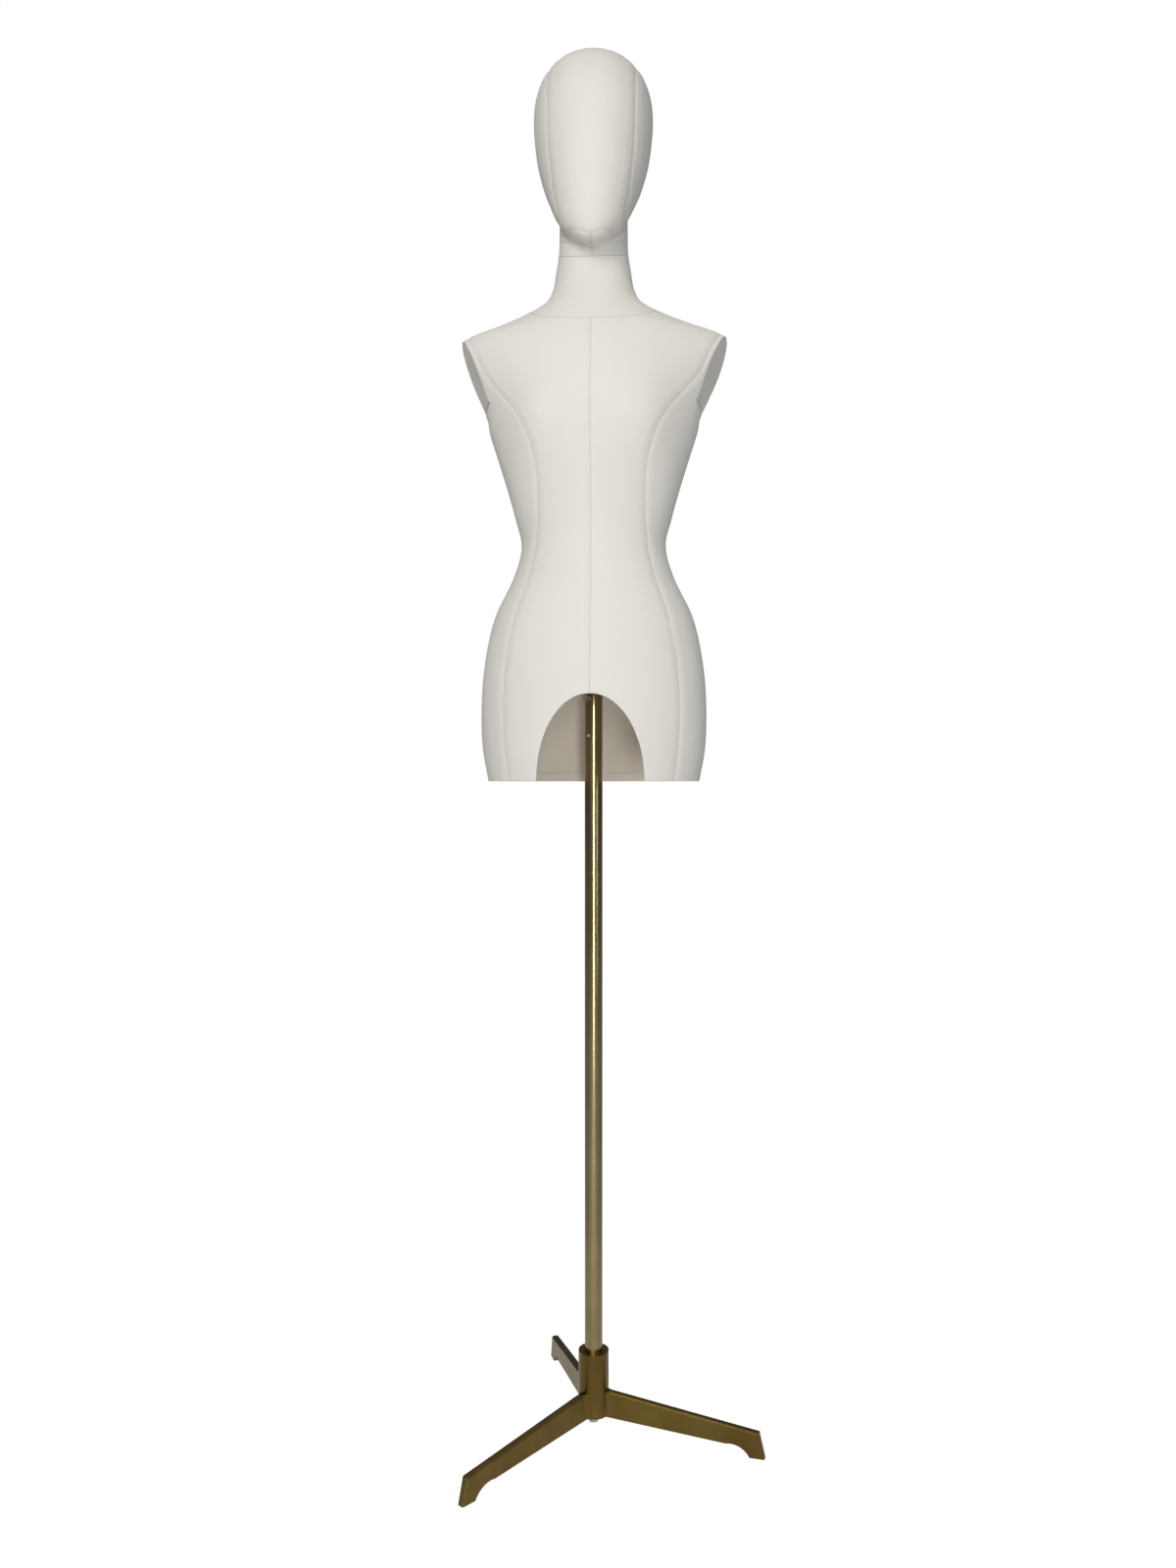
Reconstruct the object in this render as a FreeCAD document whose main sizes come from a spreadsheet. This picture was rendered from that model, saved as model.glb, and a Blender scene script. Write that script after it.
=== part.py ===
import FreeCAD, Part
import math
import os
import Sketcher
from FreeCAD import Placement, Rotation, Vector

# Dress form on a telescopic pole and a cast tripod foot, with a plain egg-shaped head.
# Millimetres.  The origin is on the pole's axis at floor level, +Z is up and the form
# faces -Y.  Every size stands in the sheet below and the pieces read it from there.

doc = FreeCAD.newDocument("DressForm")
sheet = doc.addObject("Spreadsheet::Sheet", "Sizes")
sheet_rows = []


def put(alias, value):
    """Adds one named size to the sheet."""
    sheet_rows.append(alias)
    cell = "B%d" % len(sheet_rows)
    sheet.set("A%d" % len(sheet_rows), alias)
    sheet.set(cell, str(value))
    sheet.setAlias(cell, alias)


# ---------------------------------------------------------------- sizes
# how far a cut runs on past the piece it goes through
put("cut_past", 1)

# tripod foot
put("hub_radius", 21.4)
put("hub_top_height", 119)
put("hub_base_height", 30)
put("hub_web", 10)
put("leg_count", 3)
put("leg_turn", -12)
put("leg_thickness", 11.2)
put("leg_hub_top_height", 67)
put("leg_end_top_reach", 234)
put("leg_end_top_height", 34)
put("foot_reach", 242)
put("foot_width", 21)
put("leg_arc_start_reach", 188)
put("leg_arc_start_height", 15)
put("leg_arc_radius", 30)
put("leg_root_fillet", 9)
put("leg_edge_chamfer", 1.8)
put("pad_thickness", 2.0)
put("pad_recess", 1.2)
put("pad_margin", 2.0)

# pole
put("tube_radius", 12.5)
put("tube_wall", 1.5)
put("tube_top_height", 1078)
put("tube_seat_clearance", 0.2)
put("plug_length", 30)
put("bolt_radius", 4)
put("bolt_hole_clearance", 0.5)
put("bolt_head_radius", 6.5)
put("bolt_head_height", 8)
put("bolt_engagement", 22)
put("washer_radius", 9)
put("washer_thickness", 1.6)
put("spring_washer_radius", 7.2)
put("spring_washer_thickness", 2.0)
put("spring_slit_width", 1.2)
put("washer_seat_clearance", 0.5)
put("bolt_socket_radius", 3.4)
put("bolt_socket_depth", 4)
put("bush_length", 36)
put("bush_flange_thickness", 2.5)
put("running_clearance", 0.06)

# lock screw and guide screw
put("screw_azimuth", -31)
put("lock_height", 1041)
put("guide_height", 988)
put("screw_radius", 3)
put("screw_clearance", 0.05)
put("lock_boss_radius", 6)
put("lock_boss_stand_out", 1.2)
put("boss_sink", 1.2)
put("lock_head_radius", 5)
put("lock_head_length", 5.2)
put("lock_head_gap", 0.6)
put("hex_socket_radius", 2.5)
put("hex_socket_depth", 3)
put("lock_pad_radius", 2.6)
put("lock_pad_length", 1.4)
put("lock_pad_gap", 0.3)
put("guide_tip_radius", 2.2)
put("guide_recess", 0.8)
put("guide_tip_gap", 0.3)
put("guide_hex_radius", 1.75)
put("boss_relief", 1)

# sliding rod
put("rod_radius", 9)
put("rod_base_height", 850)
put("rod_top_height", 1402)
put("rise", 100)
put("drop", 250)
put("groove_depth", 2.4)
put("groove_side_clearance", 0.2)
put("glide_length", 26)
put("glide_skirt", 8)
put("glide_pin_gap", 1)

# torso mount
put("socket_grip", 48)
put("socket_wall", 3.5)
put("turn_pad_thickness", 2)
put("flange_radius", 46)
put("flange_thickness", 4)
put("flange_screw_circle", 34)
put("flange_screw_count", 4)
put("flange_screw_radius", 2.5)
put("flange_screw_length", 15)
put("flange_hole_clearance", 0.25)
put("flange_screw_head_radius", 4.6)
put("flange_screw_head_height", 3)
put("board_thickness", 18)

# torso
put("hem_height", 924)
put("cover_thickness", 1.5)
put("shell_thickness", 5)
put("lining_thickness", 0.8)
put("lining_height", 235)
put("hem_band_thickness", 0.9)
put("hem_band_height", 13)
put("bust_rise", 13)
put("bust_half_spacing", 84)
put("bust_spread", 40)
put("bust_height_spread", 46)
put("arch_half_width", 73)
put("arch_height", 117)
put("side_seam_y", 4)
put("neckline_slope", 30)
put("neckline_height", 671)
put("armhole_top_x", 186)
put("armhole_top_height", 619)
put("armhole_base_height", 517)
put("armhole_lean", 19)
put("armhole_forward", 14)
put("armhole_board_thickness", 9)

# neck joint and head
put("joint_height", 744)
put("joint_slope", 24)
put("joint_gap", 0.5)
put("neck_cap_thickness", 20)
put("turn_bush_radius", 18)
put("turn_bush_length", 56)
put("turn_bush_flange_radius", 26)
put("turn_bush_flange_thickness", 3)
put("peg_side", 20)
put("peg_length", 78)
put("peg_corner", 2)
put("base_plate_thickness", 18)
put("peg_screw_radius", 2.5)
put("peg_screw_length", 45)
put("peg_screw_head_radius", 5)
put("peg_screw_head_height", 3)
put("chin_height", 729)
put("head_shell_thickness", 4)

# Torso cross-sections: height above the hem, half width, depth in front of and behind
# the pole's axis, and how much the section thins towards its two ends.
torso_sections = [
    ("run_out", -45, 140, 103, 109, 0.00),
    ("hem", 0, 149, 108, 116, 0.00),
    ("low_hip", 45, 157, 112, 122, 0.00),
    ("hip", 90, 159, 114, 124, 0.00),
    ("upper_hip", 140, 157, 112, 117, 0.00),
    ("belly", 190, 150, 108, 105, 0.00),
    ("flank", 235, 138, 102, 94, 0.00),
    ("low_waist", 285, 114, 92, 87, 0.00),
    ("waist", 330, 102, 86, 86, 0.00),
    ("rib", 370, 110.5, 88, 90, 0.00),
    ("under_bust", 415, 123, 95, 97, 0.02),
    ("low_bust", 455, 135.5, 102, 103, 0.05),
    ("bust", 490, 146.5, 106, 106, 0.10),
    ("chest", 514, 151.5, 105, 107, 0.14),
    ("armpit", 545, 168, 100, 106, 0.20),
    ("upper_arm", 578, 189, 93, 102, 0.27),
    ("shoulder", 604, 197, 84, 95, 0.33),
    ("shoulder_top", 624, 186, 76, 86, 0.38),
    ("shoulder_slope", 640, 142, 69, 78, 0.34),
    ("trapezius", 654, 104, 63, 72, 0.22),
    ("neck_root", 671, 71, 58, 67, 0.08),
    ("neck_low", 692, 58, 52.5, 62, 0.00),
    ("neck_mid", 718, 53, 49.5, 56.5, 0.00),
    ("neck_top", 748, 49, 48.5, 51, 0.00),
    ("neck_high", 790, 48.5, 50, 45, 0.00),
    ("neck_end", 832, 48.5, 50, 42, 0.00),
]

# Head cross-sections: height above the chin, half width, and where the section
# starts and ends along Y.
head_sections = [
    ("chin_round", 3, 14, -90, -67),
    ("chin", 12, 27, -97, -45),
    ("jaw", 28, 42, -102, -15),
    ("mouth", 48, 51.5, -105, 10),
    ("cheek", 72, 60, -106.5, 34),
    ("nose", 100, 69.5, -107, 57),
    ("eye", 133, 77.5, -107, 76),
    ("brow", 166, 82, -106, 88),
    ("temple", 198, 84, -103, 93),
    ("upper_brow", 226, 81.5, -96, 90),
    ("hairline", 250, 73, -84, 80),
    ("upper_skull", 268, 59.5, -67, 65),
    ("skull_cap", 279, 43, -48, 47),
    ("crown_round", 285, 23, -26, 27),
]
put("chin_point_y", -80)
put("crown_point_y", 0.5)
put("crown_above_chin", 287)

# Princess seam: half spacing of the two seams at each height above the hem.
princess_seam = [(-60, 108), (0, 113), (107, 120), (209, 108), (302, 81), (384, 73),
                 (452, 80), (500, 102), (565, 149), (610, 170), (700, 214)]
# Face seam: half spacing at each height above the chin, front and back of the head.
face_seam = [(4, 0), (17, 32), (51, 48), (94, 55), (138, 59), (181, 60), (230, 60)]
nape_seam = [(-80, 26), (0, 32), (60, 44), (110, 54), (160, 59), (230, 60)]

for name, height, half, front, back, thin in torso_sections:
    put("torso_%s_height" % name, height)
    put("torso_%s_half" % name, half)
    put("torso_%s_front" % name, front)
    put("torso_%s_back" % name, back)
    put("torso_%s_thin" % name, thin)
for name, height, half, front, back in head_sections:
    put("head_%s_height" % name, height)
    put("head_%s_half" % name, half)
    put("head_%s_front" % name, front)
    put("head_%s_back" % name, back)

# Sizes that follow from the ones above.
put("web_top_height", "=hub_base_height + hub_web")
put("leg_base_reach", "=foot_reach - foot_width")
put("tube_bore", "=tube_radius - tube_wall")
put("pad_lift", "=pad_thickness - pad_recess")
put("pad_inner_reach", "=leg_base_reach + pad_margin")
put("pad_outer_reach", "=foot_reach - pad_margin")
put("pad_half_width", "=leg_thickness / 2 - pad_margin")
put("web_top_height_lifted", "=web_top_height + pad_lift")
put("hub_bore", "=tube_radius + tube_seat_clearance")
put("bolt_hole", "=bolt_radius + bolt_hole_clearance")
put("washer_seat_radius", "=washer_radius + washer_seat_clearance")
put("screw_hole", "=screw_radius + screw_clearance")
put("lock_boss_inner", "=tube_bore - boss_sink")
put("rod_hole", "=rod_radius + running_clearance")
put("socket_inner", "=rod_radius + running_clearance")
put("socket_top_height", "=rod_top_height + turn_pad_thickness")
put("board_height", "=socket_top_height + flange_thickness")
put("groove_radius", "=guide_tip_radius + groove_side_clearance")
doc.recompute()


def size(alias):
    """Reads one size back from the sheet."""
    return float(getattr(sheet, alias))


# ---------------------------------------------------------------- helpers
finished = {}


def finish(feature, label):
    """Names a finished piece: the label is also its node's and file's name."""
    feature.Label = label
    finished[label] = feature
    return feature


def bind(feature, **expressions):
    """Binds properties of a feature to expressions on the sheet."""
    for name, text in expressions.items():
        feature.setExpression(name.replace("__", "."), text)
    return feature


def origin_plane(body, role):
    return next(item for item in body.Origin.OriginFeatures if item.Role == role)


def sketch_on(body, role, name):
    sketch = body.newObject("Sketcher::SketchObject", name)
    sketch.AttachmentSupport = [(origin_plane(body, role), "")]
    sketch.MapMode = "FlatFace"
    return sketch


def add_circle(sketch, radius_alias):
    """Adds a circle about the sketch's origin, its radius bound to the sheet."""
    index = sketch.addGeometry(Part.Circle(Vector(0, 0, 0), Vector(0, 0, 1), size(radius_alias)))
    sketch.addConstraint(Sketcher.Constraint("Coincident", index, 3, -1, 1))
    number = sketch.addConstraint(Sketcher.Constraint("Radius", index, size(radius_alias)))
    sketch.setExpression("Constraints[%d]" % number, "Sizes." + radius_alias)


def place_point(sketch, index, end, across, up):
    """Fixes one end of a sketch line at two sizes from the sheet; 0 is on the axis."""
    for kind, alias, axis in (("DistanceX", across, -2), ("DistanceY", up, -1)):
        if alias == 0:
            sketch.addConstraint(Sketcher.Constraint("PointOnObject", index, end, axis))
            continue
        number = sketch.addConstraint(Sketcher.Constraint(kind, -1, 1, index, end, size(alias)))
        sketch.setExpression("Constraints[%d]" % number, "Sizes." + alias)


def cylinder(name, radius, height, base="0", **more):
    """A Part cylinder about Z whose sizes are sheet expressions."""
    item = doc.addObject("Part::Cylinder", name)
    bind(item, Radius=radius, Height=height, Placement__Base__z=base, **more)
    return item


def cut(name, base, tool):
    item = doc.addObject("Part::Cut", name)
    item.Base, item.Tool = base, tool
    return item


def fuse(name, *shapes):
    item = doc.addObject("Part::MultiFuse", name)
    item.Shapes = list(shapes)
    return item


def prism(name, sides, radius, height, base):
    """A regular prism about Z, for hexagon sockets."""
    item = doc.addObject("Part::Prism", name)
    item.Polygon = sides
    return bind(item, Circumradius=radius, Height=height, Placement__Base__z=base)


def shaped(label, shape, placement=None):
    """A piece whose free-form shape is worked out below from the sheet's sizes."""
    item = doc.addObject("Part::Feature", label)
    item.Shape = shape
    if placement is not None:
        item.Placement = placement
    return finish(item, label)


# ---------------------------------------------------------------- tripod foot
# One casting: a bored hub with three tapering legs that end in a foot.
tripod = doc.addObject("PartDesign::Body", "TripodBody")

hub_sketch = sketch_on(tripod, "XY_Plane", "HubSketch")
bind(hub_sketch, AttachmentOffset__Base__z="Sizes.hub_base_height")
add_circle(hub_sketch, "hub_radius")
hub_pad = tripod.newObject("PartDesign::Pad", "HubPad")
hub_pad.Profile = hub_sketch
bind(hub_pad, Length="Sizes.hub_top_height - Sizes.hub_base_height")

leg_sketch = sketch_on(tripod, "XZ_Plane", "LegSketch")
corners = [("0", "leg_hub_top_height"), ("leg_end_top_reach", "leg_end_top_height"),
           ("foot_reach", "0"), ("leg_base_reach", "0"),
           ("leg_arc_start_reach", "leg_arc_start_height"), ("0", "hub_base_height")]


def corner_point(corner):
    return Vector(*[0 if alias == "0" else size(alias) for alias in corner], 0)


points = [corner_point(corner) for corner in corners]
chord = points[4] - points[3]
reach = math.sqrt(size("leg_arc_radius") ** 2 - (chord.Length / 2) ** 2)
toward_floor = Vector(chord.y, -chord.x, 0).normalize()
if toward_floor.y > 0:
    toward_floor = toward_floor * -1
arc_centre = (points[3] + points[4]) * 0.5 + toward_floor * reach
for index in range(len(points)):
    start, end = points[index], points[(index + 1) % len(points)]
    if index == 3:
        circle = Part.Circle(arc_centre, Vector(0, 0, 1), size("leg_arc_radius"))
        arc = Part.ArcOfCircle(circle, circle.parameter(start), circle.parameter(end))
        leg_sketch.addGeometry(arc)
    else:
        leg_sketch.addGeometry(Part.LineSegment(start, end))
for index, corner in enumerate(corners):
    last = (index - 1) % len(corners)
    leg_sketch.addConstraint(Sketcher.Constraint("Coincident", last, 2, index, 1))
    across, up = [0 if alias == "0" else alias for alias in corner]
    place_point(leg_sketch, index, 1, across, up)
leg_pad = tripod.newObject("PartDesign::Pad", "LegPad")
leg_pad.Profile = leg_sketch
leg_pad.Midplane = True
bind(leg_pad, Length="Sizes.leg_thickness")
doc.recompute()

leg_pattern = tripod.newObject("PartDesign::PolarPattern", "LegPattern")
leg_pattern.Originals = [leg_pad]
leg_pattern.Axis = (origin_plane(tripod, "Z_Axis"), [""])
leg_pattern.Angle = 360
bind(leg_pattern, Occurrences="Sizes.leg_count")
tripod.Tip = leg_pattern
doc.recompute()


def edge_names(shape, wanted):
    """Names of the edges that a test on their two end points picks."""
    names = []
    for number, edge in enumerate(shape.Edges, 1):
        if len(edge.Vertexes) == 2:
            first, second = (vertex.Point for vertex in edge.Vertexes)
            if wanted(edge, first, second):
                names.append("Edge%d" % number)
    return names


def radius_of(point):
    return math.hypot(point.x, point.y)


def is_leg_root(edge, first, second):
    upright = abs(first.x - second.x) < 0.01 and abs(first.y - second.y) < 0.01
    return upright and abs(radius_of(first) - size("hub_radius")) < 0.05


def is_leg_top(edge, first, second):
    low, high = sorted((first, second), key=radius_of)
    return (abs(high.z - size("leg_end_top_height")) < 0.05
            and low.z > high.z + 5 and radius_of(low) < size("hub_radius") * 2)


def is_foot_end(edge, first, second):
    low, high = sorted((first, second), key=lambda point: point.z)
    return (abs(high.z - size("leg_end_top_height")) < 0.05 and abs(low.z) < 0.05
            and radius_of(low) > size("leg_base_reach"))


root_fillet = tripod.newObject("PartDesign::Fillet", "LegRootFillet")
root_fillet.Base = (leg_pattern, edge_names(leg_pattern.Shape, is_leg_root))
bind(root_fillet, Radius="Sizes.leg_root_fillet")
tripod.Tip = root_fillet
doc.recompute()

top_chamfer = tripod.newObject("PartDesign::Chamfer", "LegTopChamfer")
top_chamfer.Base = (root_fillet, edge_names(root_fillet.Shape, lambda edge, first, second:
                                            is_leg_top(edge, first, second)
                                            or is_foot_end(edge, first, second)))
bind(top_chamfer, Size="Sizes.leg_edge_chamfer")
tripod.Tip = top_chamfer
doc.recompute()


def pocket_from(body, name, plane, offset, radius_alias, length, reverse=False):
    """A round pocket about Z; the volume is compared so a wrong direction shows."""
    before = body.Shape.Volume
    sketch = sketch_on(body, plane, name + "Sketch")
    bind(sketch, AttachmentOffset__Base__z=offset)
    add_circle(sketch, radius_alias)
    pocket = body.newObject("PartDesign::Pocket", name)
    pocket.Profile = sketch
    pocket.Reversed = reverse
    bind(pocket, Length=length)
    body.Tip = pocket
    doc.recompute()
    if body.Shape.Volume > before - 1:
        raise RuntimeError(name + " cuts nothing")
    return pocket


pocket_from(tripod, "HubBore", "XY_Plane", "Sizes.hub_top_height", "hub_bore",
            "Sizes.hub_top_height - Sizes.web_top_height")
pocket_from(tripod, "BoltHole", "XY_Plane", "Sizes.web_top_height", "bolt_hole",
            "Sizes.hub_web * 2")
# The hub's underside is spot-faced where the bolt's washer bears.
pocket_from(tripod, "WasherSeat", "XY_Plane", "Sizes.hub_base_height", "washer_seat_radius",
            "Sizes.hub_base_height")

# Each foot has a shallow recess below, which takes its rubber pad.
pad_sketch = sketch_on(tripod, "XY_Plane", "PadRecessSketch")
inner, outer, half = size("pad_inner_reach"), size("pad_outer_reach"), size("pad_half_width")
loop = [Vector(inner, -half, 0), Vector(outer, -half, 0), Vector(outer, half, 0),
        Vector(inner, half, 0)]
for index in range(4):
    pad_sketch.addGeometry(Part.LineSegment(loop[index], loop[(index + 1) % 4]))
for index in range(4):
    pad_sketch.addConstraint(Sketcher.Constraint("Coincident", index, 2, (index + 1) % 4, 1))
for kind, index in (("Horizontal", 0), ("Vertical", 1), ("Horizontal", 2)):
    pad_sketch.addConstraint(Sketcher.Constraint(kind, index))
for kind, point, alias in (("DistanceX", 0, "pad_inner_reach"),
                           ("DistanceX", 1, "pad_outer_reach"),
                           ("DistanceY", 2, "pad_half_width")):
    number = pad_sketch.addConstraint(Sketcher.Constraint(kind, -1, 1, point, 1, size(alias)))
    pad_sketch.setExpression("Constraints[%d]" % number, "Sizes." + alias)
pad_sketch.addConstraint(Sketcher.Constraint("Symmetric", 0, 1, 3, 1, -1))
before_recess = tripod.Shape.Volume
recess = tripod.newObject("PartDesign::Pocket", "PadRecess")
recess.Profile = pad_sketch
recess.Reversed = True
bind(recess, Length="Sizes.pad_recess")
tripod.Tip = recess
doc.recompute()
if tripod.Shape.Volume > before_recess - 1:
    raise RuntimeError("PadRecess cuts nothing")
recess_pattern = tripod.newObject("PartDesign::PolarPattern", "RecessPattern")
recess_pattern.Originals = [recess]
recess_pattern.Axis = (origin_plane(tripod, "Z_Axis"), [""])
recess_pattern.Angle = 360
bind(recess_pattern, Occurrences="Sizes.leg_count")
tripod.Tip = recess_pattern

# The casting stands on its pads, so it sits higher by what they stand out.
tripod.Placement = Placement(Vector(0, 0, 0), Rotation(Vector(0, 0, 1), size("leg_turn")))
bind(tripod, Placement__Base__z="Sizes.pad_lift", Placement__Rotation__Angle="Sizes.leg_turn")
finish(tripod, "tripod_base")
doc.recompute()

for number in range(int(size("leg_count"))):
    pad = doc.addObject("Part::Box", "FootPad%d" % (number + 1))
    bind(pad, Length="Sizes.pad_outer_reach - Sizes.pad_inner_reach",
         Width="Sizes.pad_half_width * 2", Height="Sizes.pad_thickness")
    turn = Rotation(Vector(0, 0, 1), size("leg_turn") + number * 360 / size("leg_count"))
    corner = turn.multVec(Vector(size("pad_inner_reach"), -size("pad_half_width"), 0))
    pad.Placement = Placement(corner, turn)
    finish(pad, "foot_pad_%d" % (number + 1))

# ---------------------------------------------------------------- pole
# The tube stands on the hub's web and is drawn down on it by one bolt from below.
tube_outer = cylinder("TubeOuter", "Sizes.tube_radius",
                      "Sizes.tube_top_height - Sizes.web_top_height_lifted",
                      "Sizes.web_top_height_lifted")
tube_inner = cylinder("TubeInner", "Sizes.tube_bore", "Sizes.tube_top_height",
                      "Sizes.web_top_height_lifted - Sizes.cut_past")
tube_blank = cut("TubeBlank", tube_outer, tube_inner)

outward = Rotation(Vector(0, 0, 1), size("screw_azimuth")).multVec(Vector(0, -1, 0))
facing_out = Rotation(Vector(0, 0, 1), outward)


def radial(name, radius, start, end, height):
    """A cylinder about the screws' radial axis, between two distances from the pole's axis."""
    item = doc.addObject("Part::Cylinder", name)
    item.Placement = Placement(Vector(0, 0, 0), facing_out)
    bind(item, Radius=radius, Height="%s - (%s)" % (end, start),
         Placement__Base__x="(%s) * %r" % (start, outward.x),
         Placement__Base__y="(%s) * %r" % (start, outward.y),
         Placement__Base__z=height)
    return item


holes = fuse("TubeHoles",
             radial("LockBossHole", "Sizes.lock_boss_radius", "0", "Sizes.tube_radius * 2",
                    "Sizes.lock_height"),
             radial("GuideBossHole", "Sizes.lock_boss_radius", "0", "Sizes.tube_radius * 2",
                    "Sizes.guide_height"))
finish(cut("PoleTube", tube_blank, holes), "pole_tube")

# Two threaded bosses are brazed into the tube's wall; the lower one ends flush.
for label, height, outer in (
        ("lock_boss", "Sizes.lock_height", "Sizes.tube_radius + Sizes.lock_boss_stand_out"),
        ("guide_boss", "Sizes.guide_height", "Sizes.tube_radius")):
    body = radial(label + "_body", "Sizes.lock_boss_radius", "Sizes.lock_boss_inner", outer, height)
    thread = radial(label + "_thread", "Sizes.screw_hole", "0", outer + " + Sizes.cut_past",
                    height)
    finish(cut(label + "_cut", body, thread), label)

plug = cylinder("PlugBody", "Sizes.tube_bore", "Sizes.plug_length", "Sizes.web_top_height_lifted")
plug_thread = cylinder("PlugThread", "Sizes.bolt_radius",
                       "Sizes.plug_length + Sizes.cut_past * 2",
                       "Sizes.web_top_height_lifted - Sizes.cut_past")
finish(cut("PolePlug", plug, plug_thread), "pole_end_plug")

under_hub = "(Sizes.hub_base_height + Sizes.pad_lift)"
washer = cylinder("WasherDisc", "Sizes.washer_radius", "Sizes.washer_thickness",
                  under_hub + " - Sizes.washer_thickness")
washer_hole = cylinder("WasherHole", "Sizes.bolt_hole",
                       "Sizes.washer_thickness + Sizes.cut_past * 2",
                       under_hub + " - Sizes.washer_thickness - Sizes.cut_past")
finish(cut("PoleWasher", washer, washer_hole), "pole_bolt_washer")

spring_low = under_hub + " - Sizes.washer_thickness - Sizes.spring_washer_thickness"
spring = cylinder("SpringWasherDisc", "Sizes.spring_washer_radius",
                  "Sizes.spring_washer_thickness", spring_low)
spring_hole = cylinder("SpringWasherHole", "Sizes.bolt_hole",
                       "Sizes.spring_washer_thickness + Sizes.cut_past * 2",
                       spring_low + " - Sizes.cut_past")
spring_slit = doc.addObject("Part::Box", "SpringWasherSlit")
bind(spring_slit, Length="Sizes.spring_washer_radius * 2", Width="Sizes.spring_slit_width",
     Height="Sizes.spring_washer_thickness + Sizes.cut_past * 2",
     Placement__Base__y="-Sizes.spring_slit_width / 2",
     Placement__Base__z=spring_low + " - Sizes.cut_past")
finish(cut("SpringWasher", spring, fuse("SpringWasherCuts", spring_hole, spring_slit)),
       "pole_bolt_spring_washer")

bolt_head = cylinder("BoltHead", "Sizes.bolt_head_radius", "Sizes.bolt_head_height",
                     spring_low + " - Sizes.bolt_head_height")
bolt_shank = cylinder("BoltShank", "Sizes.bolt_radius",
                      "Sizes.web_top_height_lifted + Sizes.bolt_engagement - (%s)" % spring_low,
                      spring_low)
bolt_socket = prism("BoltSocket", 6, "Sizes.bolt_socket_radius",
                    "Sizes.bolt_socket_depth + Sizes.cut_past",
                    spring_low + " - Sizes.bolt_head_height - Sizes.cut_past")
finish(cut("PoleBolt", fuse("BoltBlank", bolt_head, bolt_shank), bolt_socket), "pole_bolt")

# A flanged bush closes the tube's top and guides the rod.
bush_body = cylinder("BushBody", "Sizes.tube_bore", "Sizes.bush_length",
                     "Sizes.tube_top_height - Sizes.bush_length")
bush_flange = cylinder("BushFlange", "Sizes.tube_radius", "Sizes.bush_flange_thickness",
                       "Sizes.tube_top_height")
bush_hole = cylinder("BushHole", "Sizes.rod_hole", "Sizes.bush_length * 2",
                     "Sizes.tube_top_height - Sizes.bush_length - Sizes.cut_past")
bush_relief = radial("BushRelief", "Sizes.lock_boss_radius + Sizes.boss_relief", "0",
                     "Sizes.tube_radius", "Sizes.lock_height")
finish(cut("TubeBush", fuse("BushBlank", bush_body, bush_flange),
           fuse("BushCuts", bush_hole, bush_relief)), "tube_bush")

# ---------------------------------------------------------------- lock and guide screws
pad_start = "Sizes.rod_radius + Sizes.lock_pad_gap"
pad_end = "(%s + Sizes.lock_pad_length)" % pad_start
finish(radial("LockPad", "Sizes.lock_pad_radius", pad_start, pad_end, "Sizes.lock_height"),
       "lock_pad")

head_start = "(Sizes.tube_radius + Sizes.lock_boss_stand_out + Sizes.lock_head_gap)"
head_end = "(%s + Sizes.lock_head_length)" % head_start
lock_shank = radial("LockShank", "Sizes.screw_radius", pad_end, head_start, "Sizes.lock_height")
lock_head = radial("LockHead", "Sizes.lock_head_radius", head_start, head_end, "Sizes.lock_height")
lock_hex = doc.addObject("Part::Prism", "LockHex")
lock_hex.Polygon = 6
lock_hex.Placement = Placement(Vector(0, 0, 0), facing_out)
hex_start = "(%s - Sizes.hex_socket_depth)" % head_end
bind(lock_hex, Circumradius="Sizes.hex_socket_radius", Height="Sizes.hex_socket_depth + Sizes.cut_past",
     Placement__Base__x="%s * %r" % (hex_start, outward.x),
     Placement__Base__y="%s * %r" % (hex_start, outward.y),
     Placement__Base__z="Sizes.lock_height")
finish(cut("LockScrew", fuse("LockBlank", lock_shank, lock_head), lock_hex), "lock_screw")

# The guide screw sits below the tube's surface and its tip runs in the rod's groove.
guide_end = "(Sizes.tube_radius - Sizes.guide_recess)"
guide_start = "(Sizes.rod_radius - Sizes.groove_depth + Sizes.guide_tip_gap)"
guide_body = radial("GuideBody", "Sizes.screw_radius", "Sizes.lock_boss_inner", guide_end,
                    "Sizes.guide_height")
guide_tip = radial("GuideTip", "Sizes.guide_tip_radius", guide_start, "Sizes.lock_boss_inner",
                   "Sizes.guide_height")
guide_hex = doc.addObject("Part::Prism", "GuideHex")
guide_hex.Polygon = 6
guide_hex.Placement = Placement(Vector(0, 0, 0), facing_out)
guide_hex_start = "(%s - Sizes.guide_recess * 2)" % guide_end
bind(guide_hex, Circumradius="Sizes.guide_hex_radius", Height="Sizes.guide_recess * 3",
     Placement__Base__x="%s * %r" % (guide_hex_start, outward.x),
     Placement__Base__y="%s * %r" % (guide_hex_start, outward.y),
     Placement__Base__z="Sizes.guide_height")
finish(cut("GuideScrew", fuse("GuideBlank", guide_body, guide_tip), guide_hex), "guide_screw")

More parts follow.
